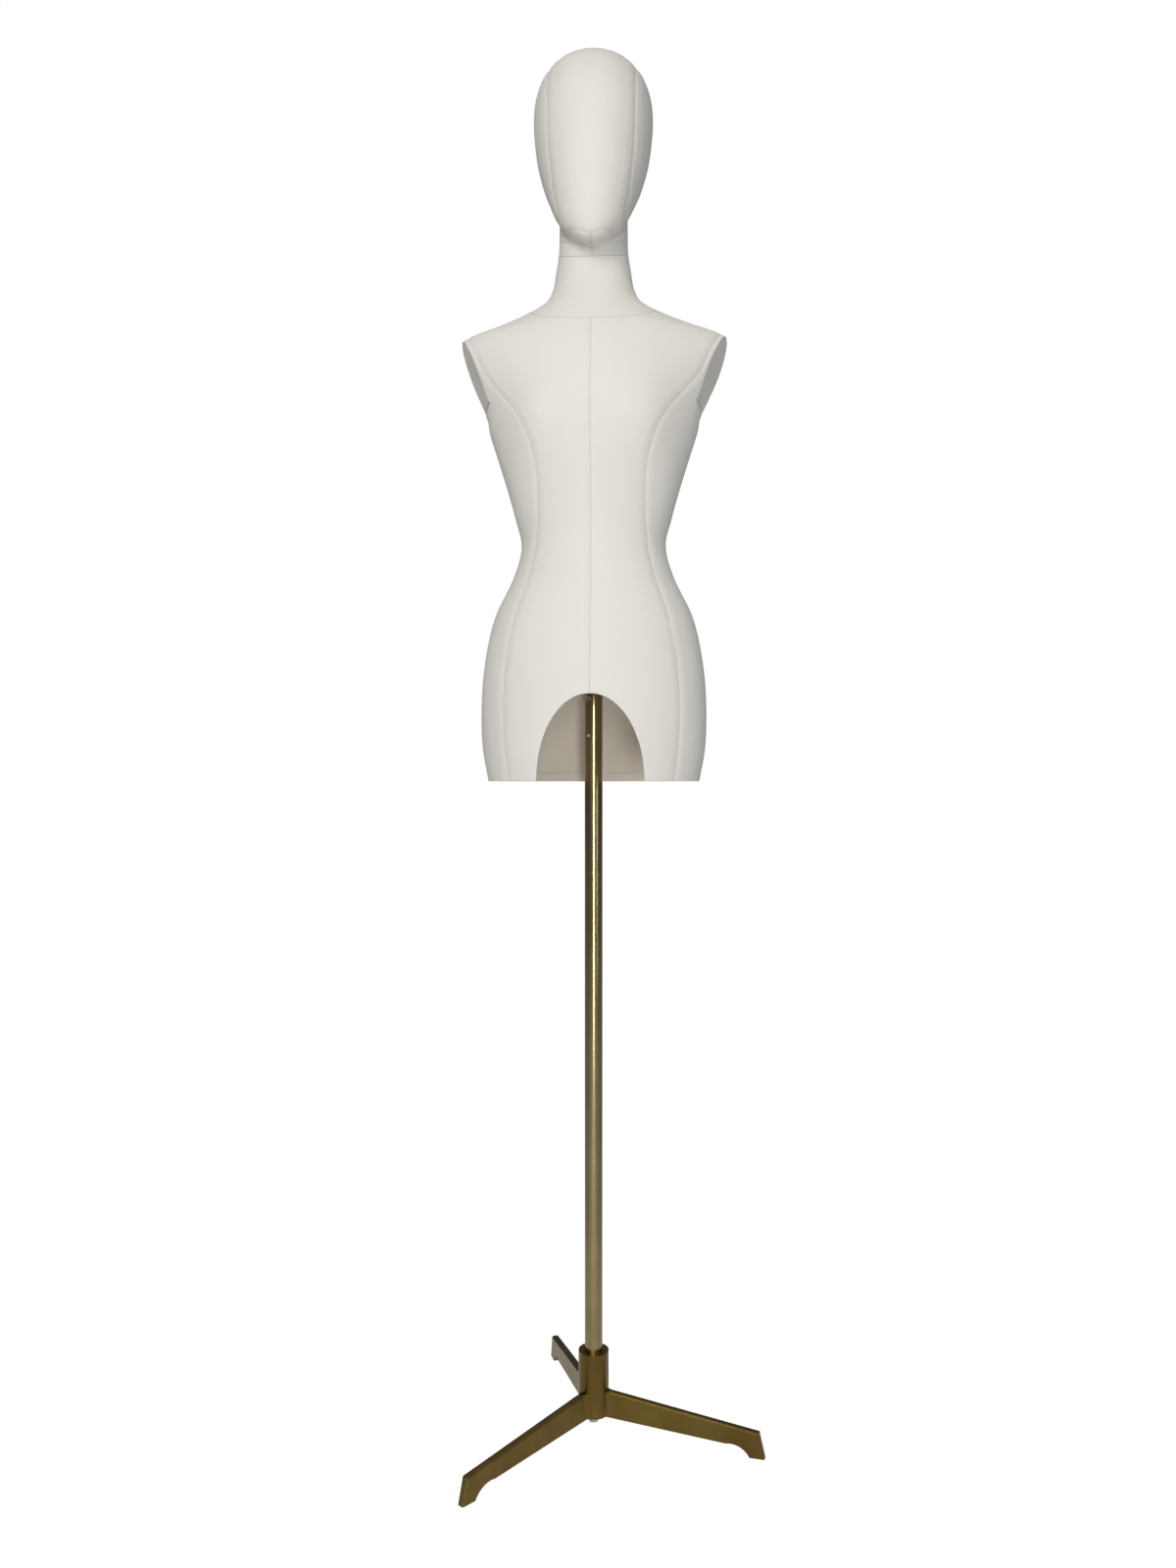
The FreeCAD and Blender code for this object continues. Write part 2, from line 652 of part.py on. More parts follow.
# ---------------------------------------------------------------- sliding rod
# The groove's two ends stop the rod against the guide screw: they set its travel.
rod_blank = cylinder("RodBlank", "Sizes.rod_radius", "Sizes.rod_top_height - Sizes.rod_base_height",
                     "Sizes.rod_base_height")
groove_low = "Sizes.guide_height - Sizes.rise"
groove_high = "Sizes.guide_height + Sizes.drop"
groove = [radial("GrooveLow", "Sizes.groove_radius", "Sizes.rod_radius - Sizes.groove_depth",
                 "Sizes.tube_radius", groove_low),
          radial("GrooveHigh", "Sizes.groove_radius", "Sizes.rod_radius - Sizes.groove_depth",
                 "Sizes.tube_radius", groove_high)]
groove_run = doc.addObject("Part::Box", "GrooveRun")
groove_run.Placement = Placement(Vector(0, 0, 0), Rotation(Vector(0, 0, 1), size("screw_azimuth")))
side = Rotation(Vector(0, 0, 1), size("screw_azimuth")).multVec(Vector(1, 0, 0))
bind(groove_run, Length="Sizes.groove_radius * 2", Width="Sizes.tube_radius",
     Height="Sizes.rise + Sizes.drop",
     Placement__Base__x="%r * (Sizes.rod_radius - Sizes.groove_depth + Sizes.tube_radius)"
                        " - %r * Sizes.groove_radius" % (outward.x, side.x),
     Placement__Base__y="%r * (Sizes.rod_radius - Sizes.groove_depth + Sizes.tube_radius)"
                        " - %r * Sizes.groove_radius" % (outward.y, side.y),
     Placement__Base__z=groove_low)
glide_pin_hole = cylinder("RodGlideHole", "Sizes.bolt_radius", "Sizes.glide_length - Sizes.glide_skirt",
                          "Sizes.rod_base_height")
finish(cut("InnerRod", rod_blank, fuse("RodCuts", groove[0], groove[1], groove_run,
                                       glide_pin_hole)), "inner_rod")

# A plastic glide on the rod's lower end runs in the tube's bore.
glide_skirt = cylinder("GlideSkirt", "Sizes.tube_bore - Sizes.running_clearance",
                       "Sizes.glide_skirt", "Sizes.rod_base_height - Sizes.glide_skirt")
glide_pin = cylinder("GlidePin", "Sizes.bolt_radius",
                     "Sizes.glide_length - Sizes.glide_skirt - Sizes.glide_pin_gap",
                     "Sizes.rod_base_height")
finish(fuse("RodGlide", glide_skirt, glide_pin), "rod_glide")

# ---------------------------------------------------------------- torso mount
# A flanged socket screwed under the board drops over the rod and turns on a thin disc.
socket_low = "Sizes.rod_top_height - Sizes.socket_grip"
socket_tube = cylinder("SocketTube", "Sizes.socket_inner + Sizes.socket_wall",
                       "Sizes.socket_top_height - (%s)" % socket_low, socket_low)
socket_flange = cylinder("SocketFlange", "Sizes.flange_radius", "Sizes.flange_thickness",
                         "Sizes.socket_top_height")
socket_bore = cylinder("SocketBore", "Sizes.socket_inner",
                       "Sizes.socket_grip + Sizes.turn_pad_thickness", socket_low)
socket_blank = cut("SocketBlank", fuse("SocketSolid", socket_tube, socket_flange), socket_bore)


def ring_of(name, alias_radius, height, base):
    """Equal cylinders on the flange's screw circle."""
    made = []
    for number in range(int(size("flange_screw_count"))):
        angle = math.radians(45 + number * 360 / size("flange_screw_count"))
        made.append(cylinder("%s%d" % (name, number + 1), alias_radius, height, base,
                             Placement__Base__x="Sizes.flange_screw_circle * %r" % math.cos(angle),
                             Placement__Base__y="Sizes.flange_screw_circle * %r" % math.sin(angle)))
    return made


flange_holes = ring_of("FlangeHole", "Sizes.flange_screw_radius + Sizes.flange_hole_clearance",
                       "Sizes.flange_thickness * 2",
                       "Sizes.socket_top_height - Sizes.cut_past")
finish(cut("RodSocket", socket_blank, fuse("FlangeHoles", *flange_holes)), "rod_socket")
finish(cylinder("TurnPad", "Sizes.rod_radius", "Sizes.turn_pad_thickness",
                "Sizes.rod_top_height"), "turn_pad")

screw_heads = ring_of("FlangeScrewHead", "Sizes.flange_screw_head_radius",
                      "Sizes.flange_screw_head_height",
                      "Sizes.socket_top_height - Sizes.flange_screw_head_height")
screw_shanks = ring_of("FlangeScrewShank", "Sizes.flange_screw_radius",
                       "Sizes.flange_screw_length", "Sizes.socket_top_height")
finish(fuse("FlangeScrews", *(screw_heads + screw_shanks)), "flange_screws")
doc.recompute()

# ---------------------------------------------------------------- torso form
# The form is a smooth loft through closed sections.  Each layer below its surface is the
# same loft moved inwards along the surface's normals.
SECTION_POINTS = 36
START_ANGLE = math.radians(25)


def torso_table():
    rows = []
    for name, *_ in torso_sections:
        keys = ("height", "half", "front", "back", "thin")
        rows.append([size("torso_%s_%s" % (name, key)) for key in keys])
    return rows


def between(rows, place):
    """Smooth values between the table's rows; place counts rows and may be a fraction."""
    index = min(int(place), len(rows) - 2)
    part = place - index
    before, start, end, after = (rows[min(max(index + step, 0), len(rows) - 1)]
                                 for step in (-1, 0, 1, 2))
    mixed = []
    for a, b, c, d in zip(before, start, end, after):
        mixed.append(0.5 * (2 * b + (c - a) * part + (2 * a - 5 * b + 4 * c - d) * part ** 2
                            + (3 * b - a - 3 * c + d) * part ** 3))
    return mixed


def torso_point(rows, place, angle):
    """One point of the torso's surface; angle 0 is at +X and 90 degrees at the back."""
    height, half, front, back, thin = between(rows, place)
    x = half * math.cos(angle)
    depth = back if math.sin(angle) > 0 else front
    y = depth * math.sin(angle) * (1 - thin * math.cos(angle) ** 2)
    if math.sin(angle) < 0:
        bust = size("torso_bust_height")
        across = (abs(x) - size("bust_half_spacing")) / size("bust_spread")
        along = (height - bust) / size("bust_height_spread")
        y += size("bust_rise") * math.sin(angle) * math.exp(-across ** 2 - along ** 2)
    return Vector(x, y, height + size("hem_height"))


def head_table():
    rows = [[0, 0, size("chin_point_y"), size("chin_point_y")]]
    for name, *_ in head_sections:
        rows.append([size("head_%s_%s" % (name, key)) for key in ("height", "half", "front", "back")])
    crown = size("crown_point_y")
    rows.append([size("crown_above_chin"), 0, crown, crown])
    return rows


def head_point(rows, place, angle):
    height, half, front, back = between(rows, place)
    middle, reach_y = (front + back) / 2, (back - front) / 2
    z = height + size("chin_height") + size("hem_height")
    return Vector(max(half, 0) * math.cos(angle), middle + reach_y * math.sin(angle), z)


def moved_in(surface_point, rows, place, angle, depth):
    """The surface's point moved inwards by depth along the normal there."""
    here = surface_point(rows, place, angle)
    if depth == 0:
        return here
    step = 0.02
    along = surface_point(rows, place, angle + step) - surface_point(rows, place, angle - step)
    low, high = max(place - step, 0), min(place + step, len(rows) - 1)
    up = surface_point(rows, high, angle) - surface_point(rows, low, angle)
    normal = along.cross(up).normalize()
    return here - normal * depth


def section_wire(points):
    """A closed smooth curve through one section's points, evenly parametrised."""
    curve = Part.BSplineCurve()
    count = len(points)
    curve.interpolate(Points=points, PeriodicFlag=True,
                      Parameters=[index / count for index in range(count + 1)])
    return Part.Wire([curve.toShape()])


def torso_layer(depth):
    rows = torso_table()
    wires = []
    steps = 2 * (len(rows) - 1)
    for step in range(steps + 1):
        place = step / 2
        points = []
        for index in range(SECTION_POINTS):
            angle = START_ANGLE + 2 * math.pi * index / SECTION_POINTS
            point = moved_in(torso_point, rows, place, angle, depth)
            if step in (0, steps):
                run_out = -depth / 2 if step == steps else depth / 2
                point.z = torso_point(rows, place, angle).z + run_out
            points.append(point)
        wires.append(section_wire(points))
    return Part.makeLoft(wires, True, True)


def head_layer(depth):
    rows = head_table()
    chin, crown = head_pole(rows, 0, depth), head_pole(rows, len(rows) - 1, -depth)
    wires = [Part.Vertex(chin)]
    for place in range(1, len(rows) - 1):
        points = []
        for index in range(SECTION_POINTS):
            angle = START_ANGLE + 2 * math.pi * index / SECTION_POINTS
            points.append(moved_in(head_point, rows, place, angle, depth))
        wires.append(section_wire(points))
    wires.append(Part.Vertex(crown))
    return Part.makeLoft(wires, True, True)


def head_pole(rows, place, shift):
    """A pole of the head's surface, moved along Z."""
    point = head_point(rows, place, 0)
    point.z += shift
    return point


BIG = 1200
FUZZ = 1e-3


def slab(low, high, placement=None):
    """All space between two levels of a frame."""
    box = Part.makeBox(2 * BIG, 2 * BIG, high - low, Vector(-BIG, -BIG, low))
    if placement is not None:
        box.Placement = placement
    return box


hem = size("hem_height")
cover = size("cover_thickness")
shell = size("shell_thickness")
lining = size("lining_thickness")
form = {depth: torso_layer(depth) for depth in
        (0, cover, cover + shell, cover + shell + lining,
         cover + shell + lining + size("hem_band_thickness"))}
outer_form, middle_form, inner_form, lined_form, banded_form = form.values()

joint = Placement(Vector(0, 0, hem + size("joint_height")),
                  Rotation(Vector(1, 0, 0), size("joint_slope")))


def armhole_frame(side):
    """The frame of an armhole: its Z points out of the arm's stump."""
    lean, forward = math.radians(size("armhole_lean")), math.radians(size("armhole_forward"))
    out = Vector(side * math.cos(lean) * math.cos(forward),
                 -math.cos(lean) * math.sin(forward), -math.sin(lean))
    tip = Vector(side * size("armhole_top_x"), 0, hem + size("armhole_top_height"))
    return Placement(tip, Rotation(Vector(0, 0, 1), out))


cap = size("armhole_board_thickness")
stump_level = hem + size("armhole_base_height")


def stump_space(side, low, high):
    """The space over one armhole between two levels of its frame."""
    beside = Part.makeBox(BIG, 2 * BIG, BIG, Vector(0 if side > 0 else -BIG, -BIG, stump_level))
    return slab(low, high, armhole_frame(side)).common(beside)


def arch_space():
    """The arch through the front: half an ellipse standing on the hem."""
    half_width, height = size("arch_half_width"), size("arch_height")
    long, short = max(half_width, height), min(half_width, height)
    outline = Part.Ellipse(Vector(0, 0, 0), long, short).toShape()
    if height > half_width:
        outline.rotate(Vector(0, 0, 0), Vector(0, 0, 1), 90)
    arch = Part.Face(Part.Wire([outline])).extrude(Vector(0, 0, BIG))
    arch.Placement = Placement(Vector(0, 0, hem), Rotation(Vector(1, 0, 0), 90))
    return arch


waste = [slab(hem - BIG, hem), slab(0, BIG, joint), stump_space(-1, -cap, BIG),
         stump_space(1, -cap, BIG), arch_space()]


def wall_between(outer, inner):
    """The outer form with the inner one as a closed cavity inside it."""
    shells = Part.makeCompound([outer.Shells[0], inner.Shells[0].reversed()])
    wall = Part.makeSolid(shells)
    if abs(wall.Volume - (outer.Volume - inner.Volume)) > 1e-4 * outer.Volume:
        raise RuntimeError("a cavity is not inside its form")
    return wall


def torso_skin(outer, inner):
    """The wall between two forms, open at the hem, arch, armholes and neck."""
    wall = wall_between(outer, inner)
    for item in waste:
        wall = wall.cut(item, FUZZ)
    return wall


def only_solid(shape):
    """The largest solid of a result, without the compound around it."""
    return max(shape.Solids, key=lambda solid: solid.Volume)


shaped("torso_shell", only_solid(torso_skin(middle_form, inner_form)))
for label, outer, inner, height in (
        ("torso_lining", inner_form, lined_form, size("lining_height")),
        ("hem_band", lined_form, banded_form, size("hem_band_height"))):
    low_wall = wall_between(outer, inner).common(slab(hem, hem + height))
    shaped(label, only_solid(low_wall.cut(arch_space())))

# The cover is sewn from eight panels and a neck piece that meet at the seams.
cover_layer = torso_skin(outer_form, middle_form)
neck_space = slab(0, BIG, Placement(Vector(0, 0, hem + size("neckline_height")),
                                    Rotation(Vector(1, 0, 0), size("neckline_slope"))))
shaped("cover_neck", only_solid(cover_layer.common(neck_space)))
cover_layer = cover_layer.cut(neck_space)


def seam_face(seam, base):
    """The face between the two mirrored seam curves, standing in the XZ plane."""
    half = [Vector(x, 0, base + height) for height, x in seam]
    right = Part.BSplineCurve()
    right.interpolate(half)
    left = Part.BSplineCurve()
    left.interpolate([Vector(-point.x, 0, point.z) for point in half])
    edges = [right.toShape(), left.toShape()]
    if half[0].x > 0:
        edges.append(Part.makeLine(half[0], Vector(-half[0].x, 0, half[0].z)))
    edges.append(Part.makeLine(half[-1], Vector(-half[-1].x, 0, half[-1].z)))
    return Part.Face(Part.Wire(Part.__sortEdges__(edges)))


seam_y = size("side_seam_y")
middle_face = seam_face(princess_seam, hem)
for facing, far_y in (("front", seam_y), ("back", seam_y + BIG)):
    prism_shape = middle_face.extrude(Vector(0, -BIG, 0))
    prism_shape.translate(Vector(0, far_y, 0))
    half_box = Part.makeBox(2 * BIG, BIG, 2 * BIG, Vector(-BIG, far_y - BIG, 0))
    half_cover = cover_layer.common(half_box)
    for side, low_x in (("left", -BIG), ("right", 0)):
        side_box = Part.makeBox(BIG, 2 * BIG, 2 * BIG, Vector(low_x, -BIG, 0))
        quarter = half_cover.common(side_box)
        shaped("cover_%s_%s" % (facing, side), only_solid(quarter.common(prism_shape)))
        shaped("cover_side_%s_%s" % (facing, side), only_solid(quarter.cut(prism_shape)))

# Each arm's stump is closed by an oval board with its own cover.
for side, word in ((-1, "left"), (1, "right")):
    frame = armhole_frame(side)
    board, plate = (only_solid(form_solid.common(stump_space(side, -cap, BIG), FUZZ)
                               .cut(slab(top, BIG, frame), FUZZ))
                    for form_solid, top in ((middle_form, -cover), (outer_form, 0)))
    shaped("armhole_board_" + word, board)
    shaped("armhole_cover_" + word, only_solid(plate.cut(board)))

# The board inside the torso that carries the socket.
board_low = size("board_height")
mount_board = inner_form.common(slab(board_low, board_low + size("board_thickness")))
for item in finished["flange_screws"].Shape.Solids:
    mount_board = mount_board.cut(item)
shaped("mount_board", only_solid(mount_board))

# ---------------------------------------------------------------- neck joint
# The neck ends in a wooden cap.  A round bush turns in it and holds the head's square peg.
gap = size("joint_gap")
cap_low = -size("neck_cap_thickness")
neck_cap = inner_form.common(slab(cap_low, 0, joint))
bush_radius = size("turn_bush_radius")
flange_radius = size("turn_bush_flange_radius")
flange_depth = size("turn_bush_flange_thickness")
clearance = size("running_clearance")


def along_joint(shape):
    shape.Placement = joint
    return shape


def round_bar(radius, low, high):
    return Part.makeCylinder(radius, high - low, Vector(0, 0, low))


cap_hole = round_bar(bush_radius + clearance, cap_low - 60, 10).fuse(
    round_bar(flange_radius + clearance, -flange_depth, 10))
neck_cap = neck_cap.cut(along_joint(cap_hole))
shaped("neck_cap", only_solid(neck_cap))

peg_half = size("peg_side") / 2
square_hole = Part.makeBox(2 * (peg_half + clearance), 2 * (peg_half + clearance), 400,
                           Vector(-peg_half - clearance, -peg_half - clearance, -200))
turn_bush = round_bar(bush_radius, -size("turn_bush_length"), 0).fuse(
    round_bar(flange_radius, -flange_depth, 0)).cut(square_hole)
shaped("neck_bush", only_solid(turn_bush), joint)

# ---------------------------------------------------------------- head
# The head is an egg on a short neck that carries the torso's neck on above the joint.
head_shell_depth = cover + size("head_shell_thickness")
above_joint = slab(gap, BIG, joint)


def head_form(depth, neck_form):
    """The egg and the neck below it, run on past the joint."""
    neck = neck_form.common(slab(depth * 2 - 30, BIG, joint))
    return only_solid(head_layer(depth).fuse(neck))


head_outer = head_form(0, outer_form)
head_middle = head_form(cover, middle_form)
head_inner = head_form(head_shell_depth, inner_form)
shaped("head_shell", only_solid(wall_between(head_middle, head_inner).common(above_joint)))
head_cover = only_solid(wall_between(head_outer, head_middle).common(above_joint))

chin_level = hem + size("chin_height")
upper = seam_face(face_seam, chin_level)
above_seam = Part.makeBox(2 * face_seam[-1][1], BIG, BIG,
                          Vector(-face_seam[-1][1], -BIG, chin_level + face_seam[-1][0]))
face_prism = upper.extrude(Vector(0, -BIG, 0)).fuse(above_seam)
nape = seam_face(nape_seam, chin_level)
above_nape = Part.makeBox(2 * nape_seam[-1][1], BIG, BIG,
                          Vector(-nape_seam[-1][1], 0, chin_level + nape_seam[-1][0]))
nape_prism = nape.extrude(Vector(0, -BIG, 0))
nape_prism.translate(Vector(0, BIG, 0))
nape_prism = nape_prism.fuse(above_nape)
centre_prism = face_prism.fuse(nape_prism)
shaped("head_cover_centre", only_solid(head_cover.common(centre_prism)))
sides = head_cover.cut(centre_prism)
for side, word in ((-1, "left"), (1, "right")):
    side_box = Part.makeBox(BIG, 2 * BIG, 3 * BIG, Vector(0 if side > 0 else -BIG, -BIG, 0))
    shaped("head_cover_" + word, only_solid(sides.common(side_box)))

base_plate = inner_form.common(slab(gap, gap + size("base_plate_thickness"), joint))
screw_low = gap + size("base_plate_thickness") - size("peg_screw_length")
screw_hole = round_bar(size("peg_screw_radius"), screw_low, 200)
base_plate = base_plate.cut(along_joint(screw_hole.copy()))
shaped("head_base_plate", only_solid(base_plate))

peg = Part.makeBox(2 * peg_half, 2 * peg_half, size("peg_length") + gap,
                   Vector(-peg_half, -peg_half, -size("peg_length")))
long_edges = [edge for edge in peg.Edges if edge.Length > 2 * peg_half + 1]
peg = peg.makeChamfer(size("peg_corner"), long_edges).cut(screw_hole)
shaped("head_peg", only_solid(peg), joint)

peg_screw = round_bar(size("peg_screw_radius"), screw_low, gap + size("base_plate_thickness")).fuse(
    round_bar(size("peg_screw_head_radius"), gap + size("base_plate_thickness"),
              gap + size("base_plate_thickness") + size("peg_screw_head_height")))
shaped("peg_screw", only_solid(peg_screw), joint)

# ---------------------------------------------------------------- checks and files
doc.recompute()
failed = [item.Label for item in doc.Objects if {"Invalid", "Error"} & set(item.State)]
if failed:
    raise RuntimeError("failed objects: " + ", ".join(failed))
for label, item in finished.items():
    if item.Shape.isNull() or not item.Shape.isValid() or not item.Shape.Solids:
        raise RuntimeError(label + " has no valid solid")

os.makedirs("parts", exist_ok=True)
for label, item in finished.items():
    item.Shape.exportStep("parts/%s.step" % label)
    print("%-26s %9.1f mm3" % (label, item.Shape.Volume))
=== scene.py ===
import math

import bpy
import numpy as np
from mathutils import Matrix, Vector


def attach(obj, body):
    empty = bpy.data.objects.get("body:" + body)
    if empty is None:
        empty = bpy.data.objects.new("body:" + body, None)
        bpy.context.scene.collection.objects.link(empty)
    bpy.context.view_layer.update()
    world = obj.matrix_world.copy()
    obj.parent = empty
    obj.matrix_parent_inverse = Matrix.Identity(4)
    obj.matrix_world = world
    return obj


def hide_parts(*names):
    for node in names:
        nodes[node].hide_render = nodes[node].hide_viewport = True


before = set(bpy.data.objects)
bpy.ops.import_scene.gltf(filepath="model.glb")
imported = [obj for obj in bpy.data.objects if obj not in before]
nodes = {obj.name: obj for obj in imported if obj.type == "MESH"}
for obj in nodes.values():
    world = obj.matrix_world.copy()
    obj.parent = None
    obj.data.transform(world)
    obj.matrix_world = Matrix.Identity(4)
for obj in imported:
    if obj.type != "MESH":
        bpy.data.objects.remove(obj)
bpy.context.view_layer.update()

# ------------------------------------------------------------------ camera
# A level camera at the height of the torso's hem, a little to the form's left.
CAMERA_AZIMUTH = math.radians(3)
CAMERA_DISTANCE = 1.690
CAMERA_HEIGHT = 0.920
CAMERA_OFFSET = 0.008

toward_camera = Vector((math.sin(CAMERA_AZIMUTH), -math.cos(CAMERA_AZIMUTH), 0))
camera_right = Vector((math.cos(CAMERA_AZIMUTH), math.sin(CAMERA_AZIMUTH), 0))
bpy.ops.object.select_all(action="DESELECT")
bpy.ops.object.camera_add(
    location=toward_camera * CAMERA_DISTANCE - camera_right * CAMERA_OFFSET
    + Vector((0, 0, CAMERA_HEIGHT)),
    rotation=(math.pi / 2, 0, CAMERA_AZIMUTH))
camera = bpy.context.object
camera.name = "camera"
camera.data.sensor_fit = "VERTICAL"
camera.data.sensor_height = 36
camera.data.lens = 27.4
bpy.context.scene.camera = camera

# ------------------------------------------------------------------ antique brass
# The foot is a sand casting that is ground, satin brushed and stained to an old brass.
# The pole is drawn tube brushed along its length.  Both are lacquered.


def new_material(name):
    """A material with an empty tree but for the shader and the output."""
    made = bpy.data.materials.new(name)
    made.use_nodes = True
    tree = made.node_tree
    tree.nodes.clear()
    output = tree.nodes.new("ShaderNodeOutputMaterial")
    shader = tree.nodes.new("ShaderNodeBsdfPrincipled")
    tree.links.new(shader.outputs["BSDF"], output.inputs["Surface"])
    return made, tree, shader


def add_node(tree, kind, **inputs):
    """Adds a node; keywords set its input sockets, with _ for a space."""
    node = tree.nodes.new(kind)
    for name, value in inputs.items():
        socket = node.inputs[name.replace("_", " ")]
        if hasattr(value, "is_output"):
            tree.links.new(value, socket)
        else:
            socket.default_value = value
    return node


def object_place(tree, scale):
    """Object coordinates stretched by a scale in X, Y and Z."""
    coordinates = tree.nodes.new("ShaderNodeTexCoord")
    mapping = tree.nodes.new("ShaderNodeMapping")
    mapping.inputs["Scale"].default_value = scale
    tree.links.new(coordinates.outputs["Object"], mapping.inputs["Vector"])
    return mapping.outputs["Vector"]


def ramp(tree, factor, *stops):
    """A colour ramp from (place, colour) stops."""
    node = tree.nodes.new("ShaderNodeValToRGB")
    while len(node.color_ramp.elements) < len(stops):
        node.color_ramp.elements.new(0.5)
    for element, (place, colour) in zip(node.color_ramp.elements, stops):
        element.position = place
        element.color = (*colour, 1)
    tree.links.new(factor, node.inputs["Fac"])
    return node.outputs["Color"]


def spread(tree, factor, low, high):
    """A number from a noise, spread from low to high."""
    node = tree.nodes.new("ShaderNodeMapRange")
    node.inputs["From Min"].default_value = 0.3
    node.inputs["From Max"].default_value = 0.7
    node.inputs["To Min"].default_value = low
    node.inputs["To Max"].default_value = high
    tree.links.new(factor, node.inputs["Value"])
    return node.outputs["Result"]


def bump(tree, height, strength, distance, normal=None):
    """A surface relief from a height, laid over another relief where one is given."""
    node = tree.nodes.new("ShaderNodeBump")
    node.inputs["Strength"].default_value = strength
    node.inputs["Distance"].default_value = distance
    tree.links.new(height, node.inputs["Height"])
    if normal is not None:
        tree.links.new(normal, node.inputs["Normal"])
    return node.outputs["Normal"]


def brass(name, brush_scale, dark, light, rough):
    """Stained brass: brush marks along one direction, cloudy stain, uneven lacquer."""
    made, tree, shader = new_material(name)
    shader.inputs["Metallic"].default_value = 1.0
    shader.inputs["Coat Weight"].default_value = 0.2
    shader.inputs["Coat Roughness"].default_value = 0.16
    marks = add_node(tree, "ShaderNodeTexNoise", Vector=object_place(tree, brush_scale),
                     Scale=1.0, Detail=4.0, Roughness=0.6)
    stain = add_node(tree, "ShaderNodeTexNoise", Vector=object_place(tree, (18, 18, 9)),
                     Scale=1.0, Detail=5.0, Roughness=0.55)
    colour = ramp(tree, stain.outputs["Fac"], (0.25, dark), (0.75, light))
    tree.links.new(colour, shader.inputs["Base Color"])
    tree.links.new(spread(tree, marks.outputs["Fac"], rough - 0.05, rough + 0.08),
                   shader.inputs["Roughness"])
    tree.links.new(bump(tree, marks.outputs["Fac"], 0.18, 0.0002), shader.inputs["Normal"])
    return made


cast_brass = brass("cast_brass", (60, 60, 900), (0.12, 0.073, 0.012), (0.21, 0.140, 0.031), 0.32)
tube_brass = brass("tube_brass", (2400, 2400, 9), (0.30, 0.235, 0.115), (0.42, 0.340, 0.180), 0.20)


def paint(material, *names):
    """Gives CAD nodes their finish."""
    for name in names:
        slots = nodes[name].data.materials
        slots.clear()
        slots.append(material)


paint(cast_brass, "tripod_base")
paint(tube_brass, "pole_tube", "lock_boss", "guide_boss", "pole_end_plug")

# ------------------------------------------------------------------ steel, nylon, rubber and wood
# Screws and the rod are zinc-plated steel, glides and bushes are moulded nylon, the
# pads are rubber, and the boards are birch plywood and beech.


def plain(name, colour, shade, rough, metal, grain_scale, grain_depth):
    """A finish of two close shades with a grain that shows in its gloss and relief."""
    made, tree, shader = new_material(name)
    shader.inputs["Metallic"].default_value = metal
    grain = add_node(tree, "ShaderNodeTexNoise", Vector=object_place(tree, grain_scale),
                     Scale=1.0, Detail=6.0, Roughness=0.6)
    tree.links.new(ramp(tree, grain.outputs["Fac"], (0.3, shade), (0.7, colour)),
                   shader.inputs["Base Color"])
    tree.links.new(spread(tree, grain.outputs["Fac"], rough - 0.06, rough + 0.08),
                   shader.inputs["Roughness"])
    tree.links.new(bump(tree, grain.outputs["Fac"], 0.3, grain_depth), shader.inputs["Normal"])
    return made


steel = plain("zinc_steel", (0.60, 0.60, 0.61), (0.46, 0.46, 0.48), 0.30, 1.0,
              (900, 900, 90), 0.0001)
nylon = plain("nylon", (0.80, 0.79, 0.74), (0.72, 0.71, 0.66), 0.45, 0.0, (300, 300, 300), 0.0001)
rubber = plain("rubber", (0.035, 0.035, 0.036), (0.02, 0.02, 0.02), 0.75, 0.0,
               (500, 500, 500), 0.0002)
plywood = plain("plywood", (0.68, 0.52, 0.34), (0.50, 0.35, 0.20), 0.6, 0.0, (14, 160, 700), 0.0003)
beech = plain("beech", (0.66, 0.47, 0.31), (0.52, 0.34, 0.20), 0.55, 0.0, (120, 120, 14), 0.0003)
moulded = plain("moulded_shell", (0.66, 0.61, 0.52), (0.55, 0.50, 0.42), 0.8, 0.0,
                (160, 160, 160), 0.0006)
paint(steel, "pole_bolt", "pole_bolt_washer", "pole_bolt_spring_washer", "guide_screw",
      "lock_screw", "inner_rod", "rod_socket", "flange_screws", "peg_screw")
paint(nylon, "tube_bush", "rod_glide", "turn_pad", "neck_bush", "lock_pad")
paint(rubber, "foot_pad_1", "foot_pad_2", "foot_pad_3")
paint(plywood, "mount_board")
paint(beech, "neck_cap", "head_base_plate", "head_peg")
paint(moulded, "torso_shell", "head_shell")

# ------------------------------------------------------------------ cotton
# The cover is a natural cotton canvas: a fine plain weave, slubs here and there, a
# soft nap.  The lining inside is a thinner, warmer cotton.


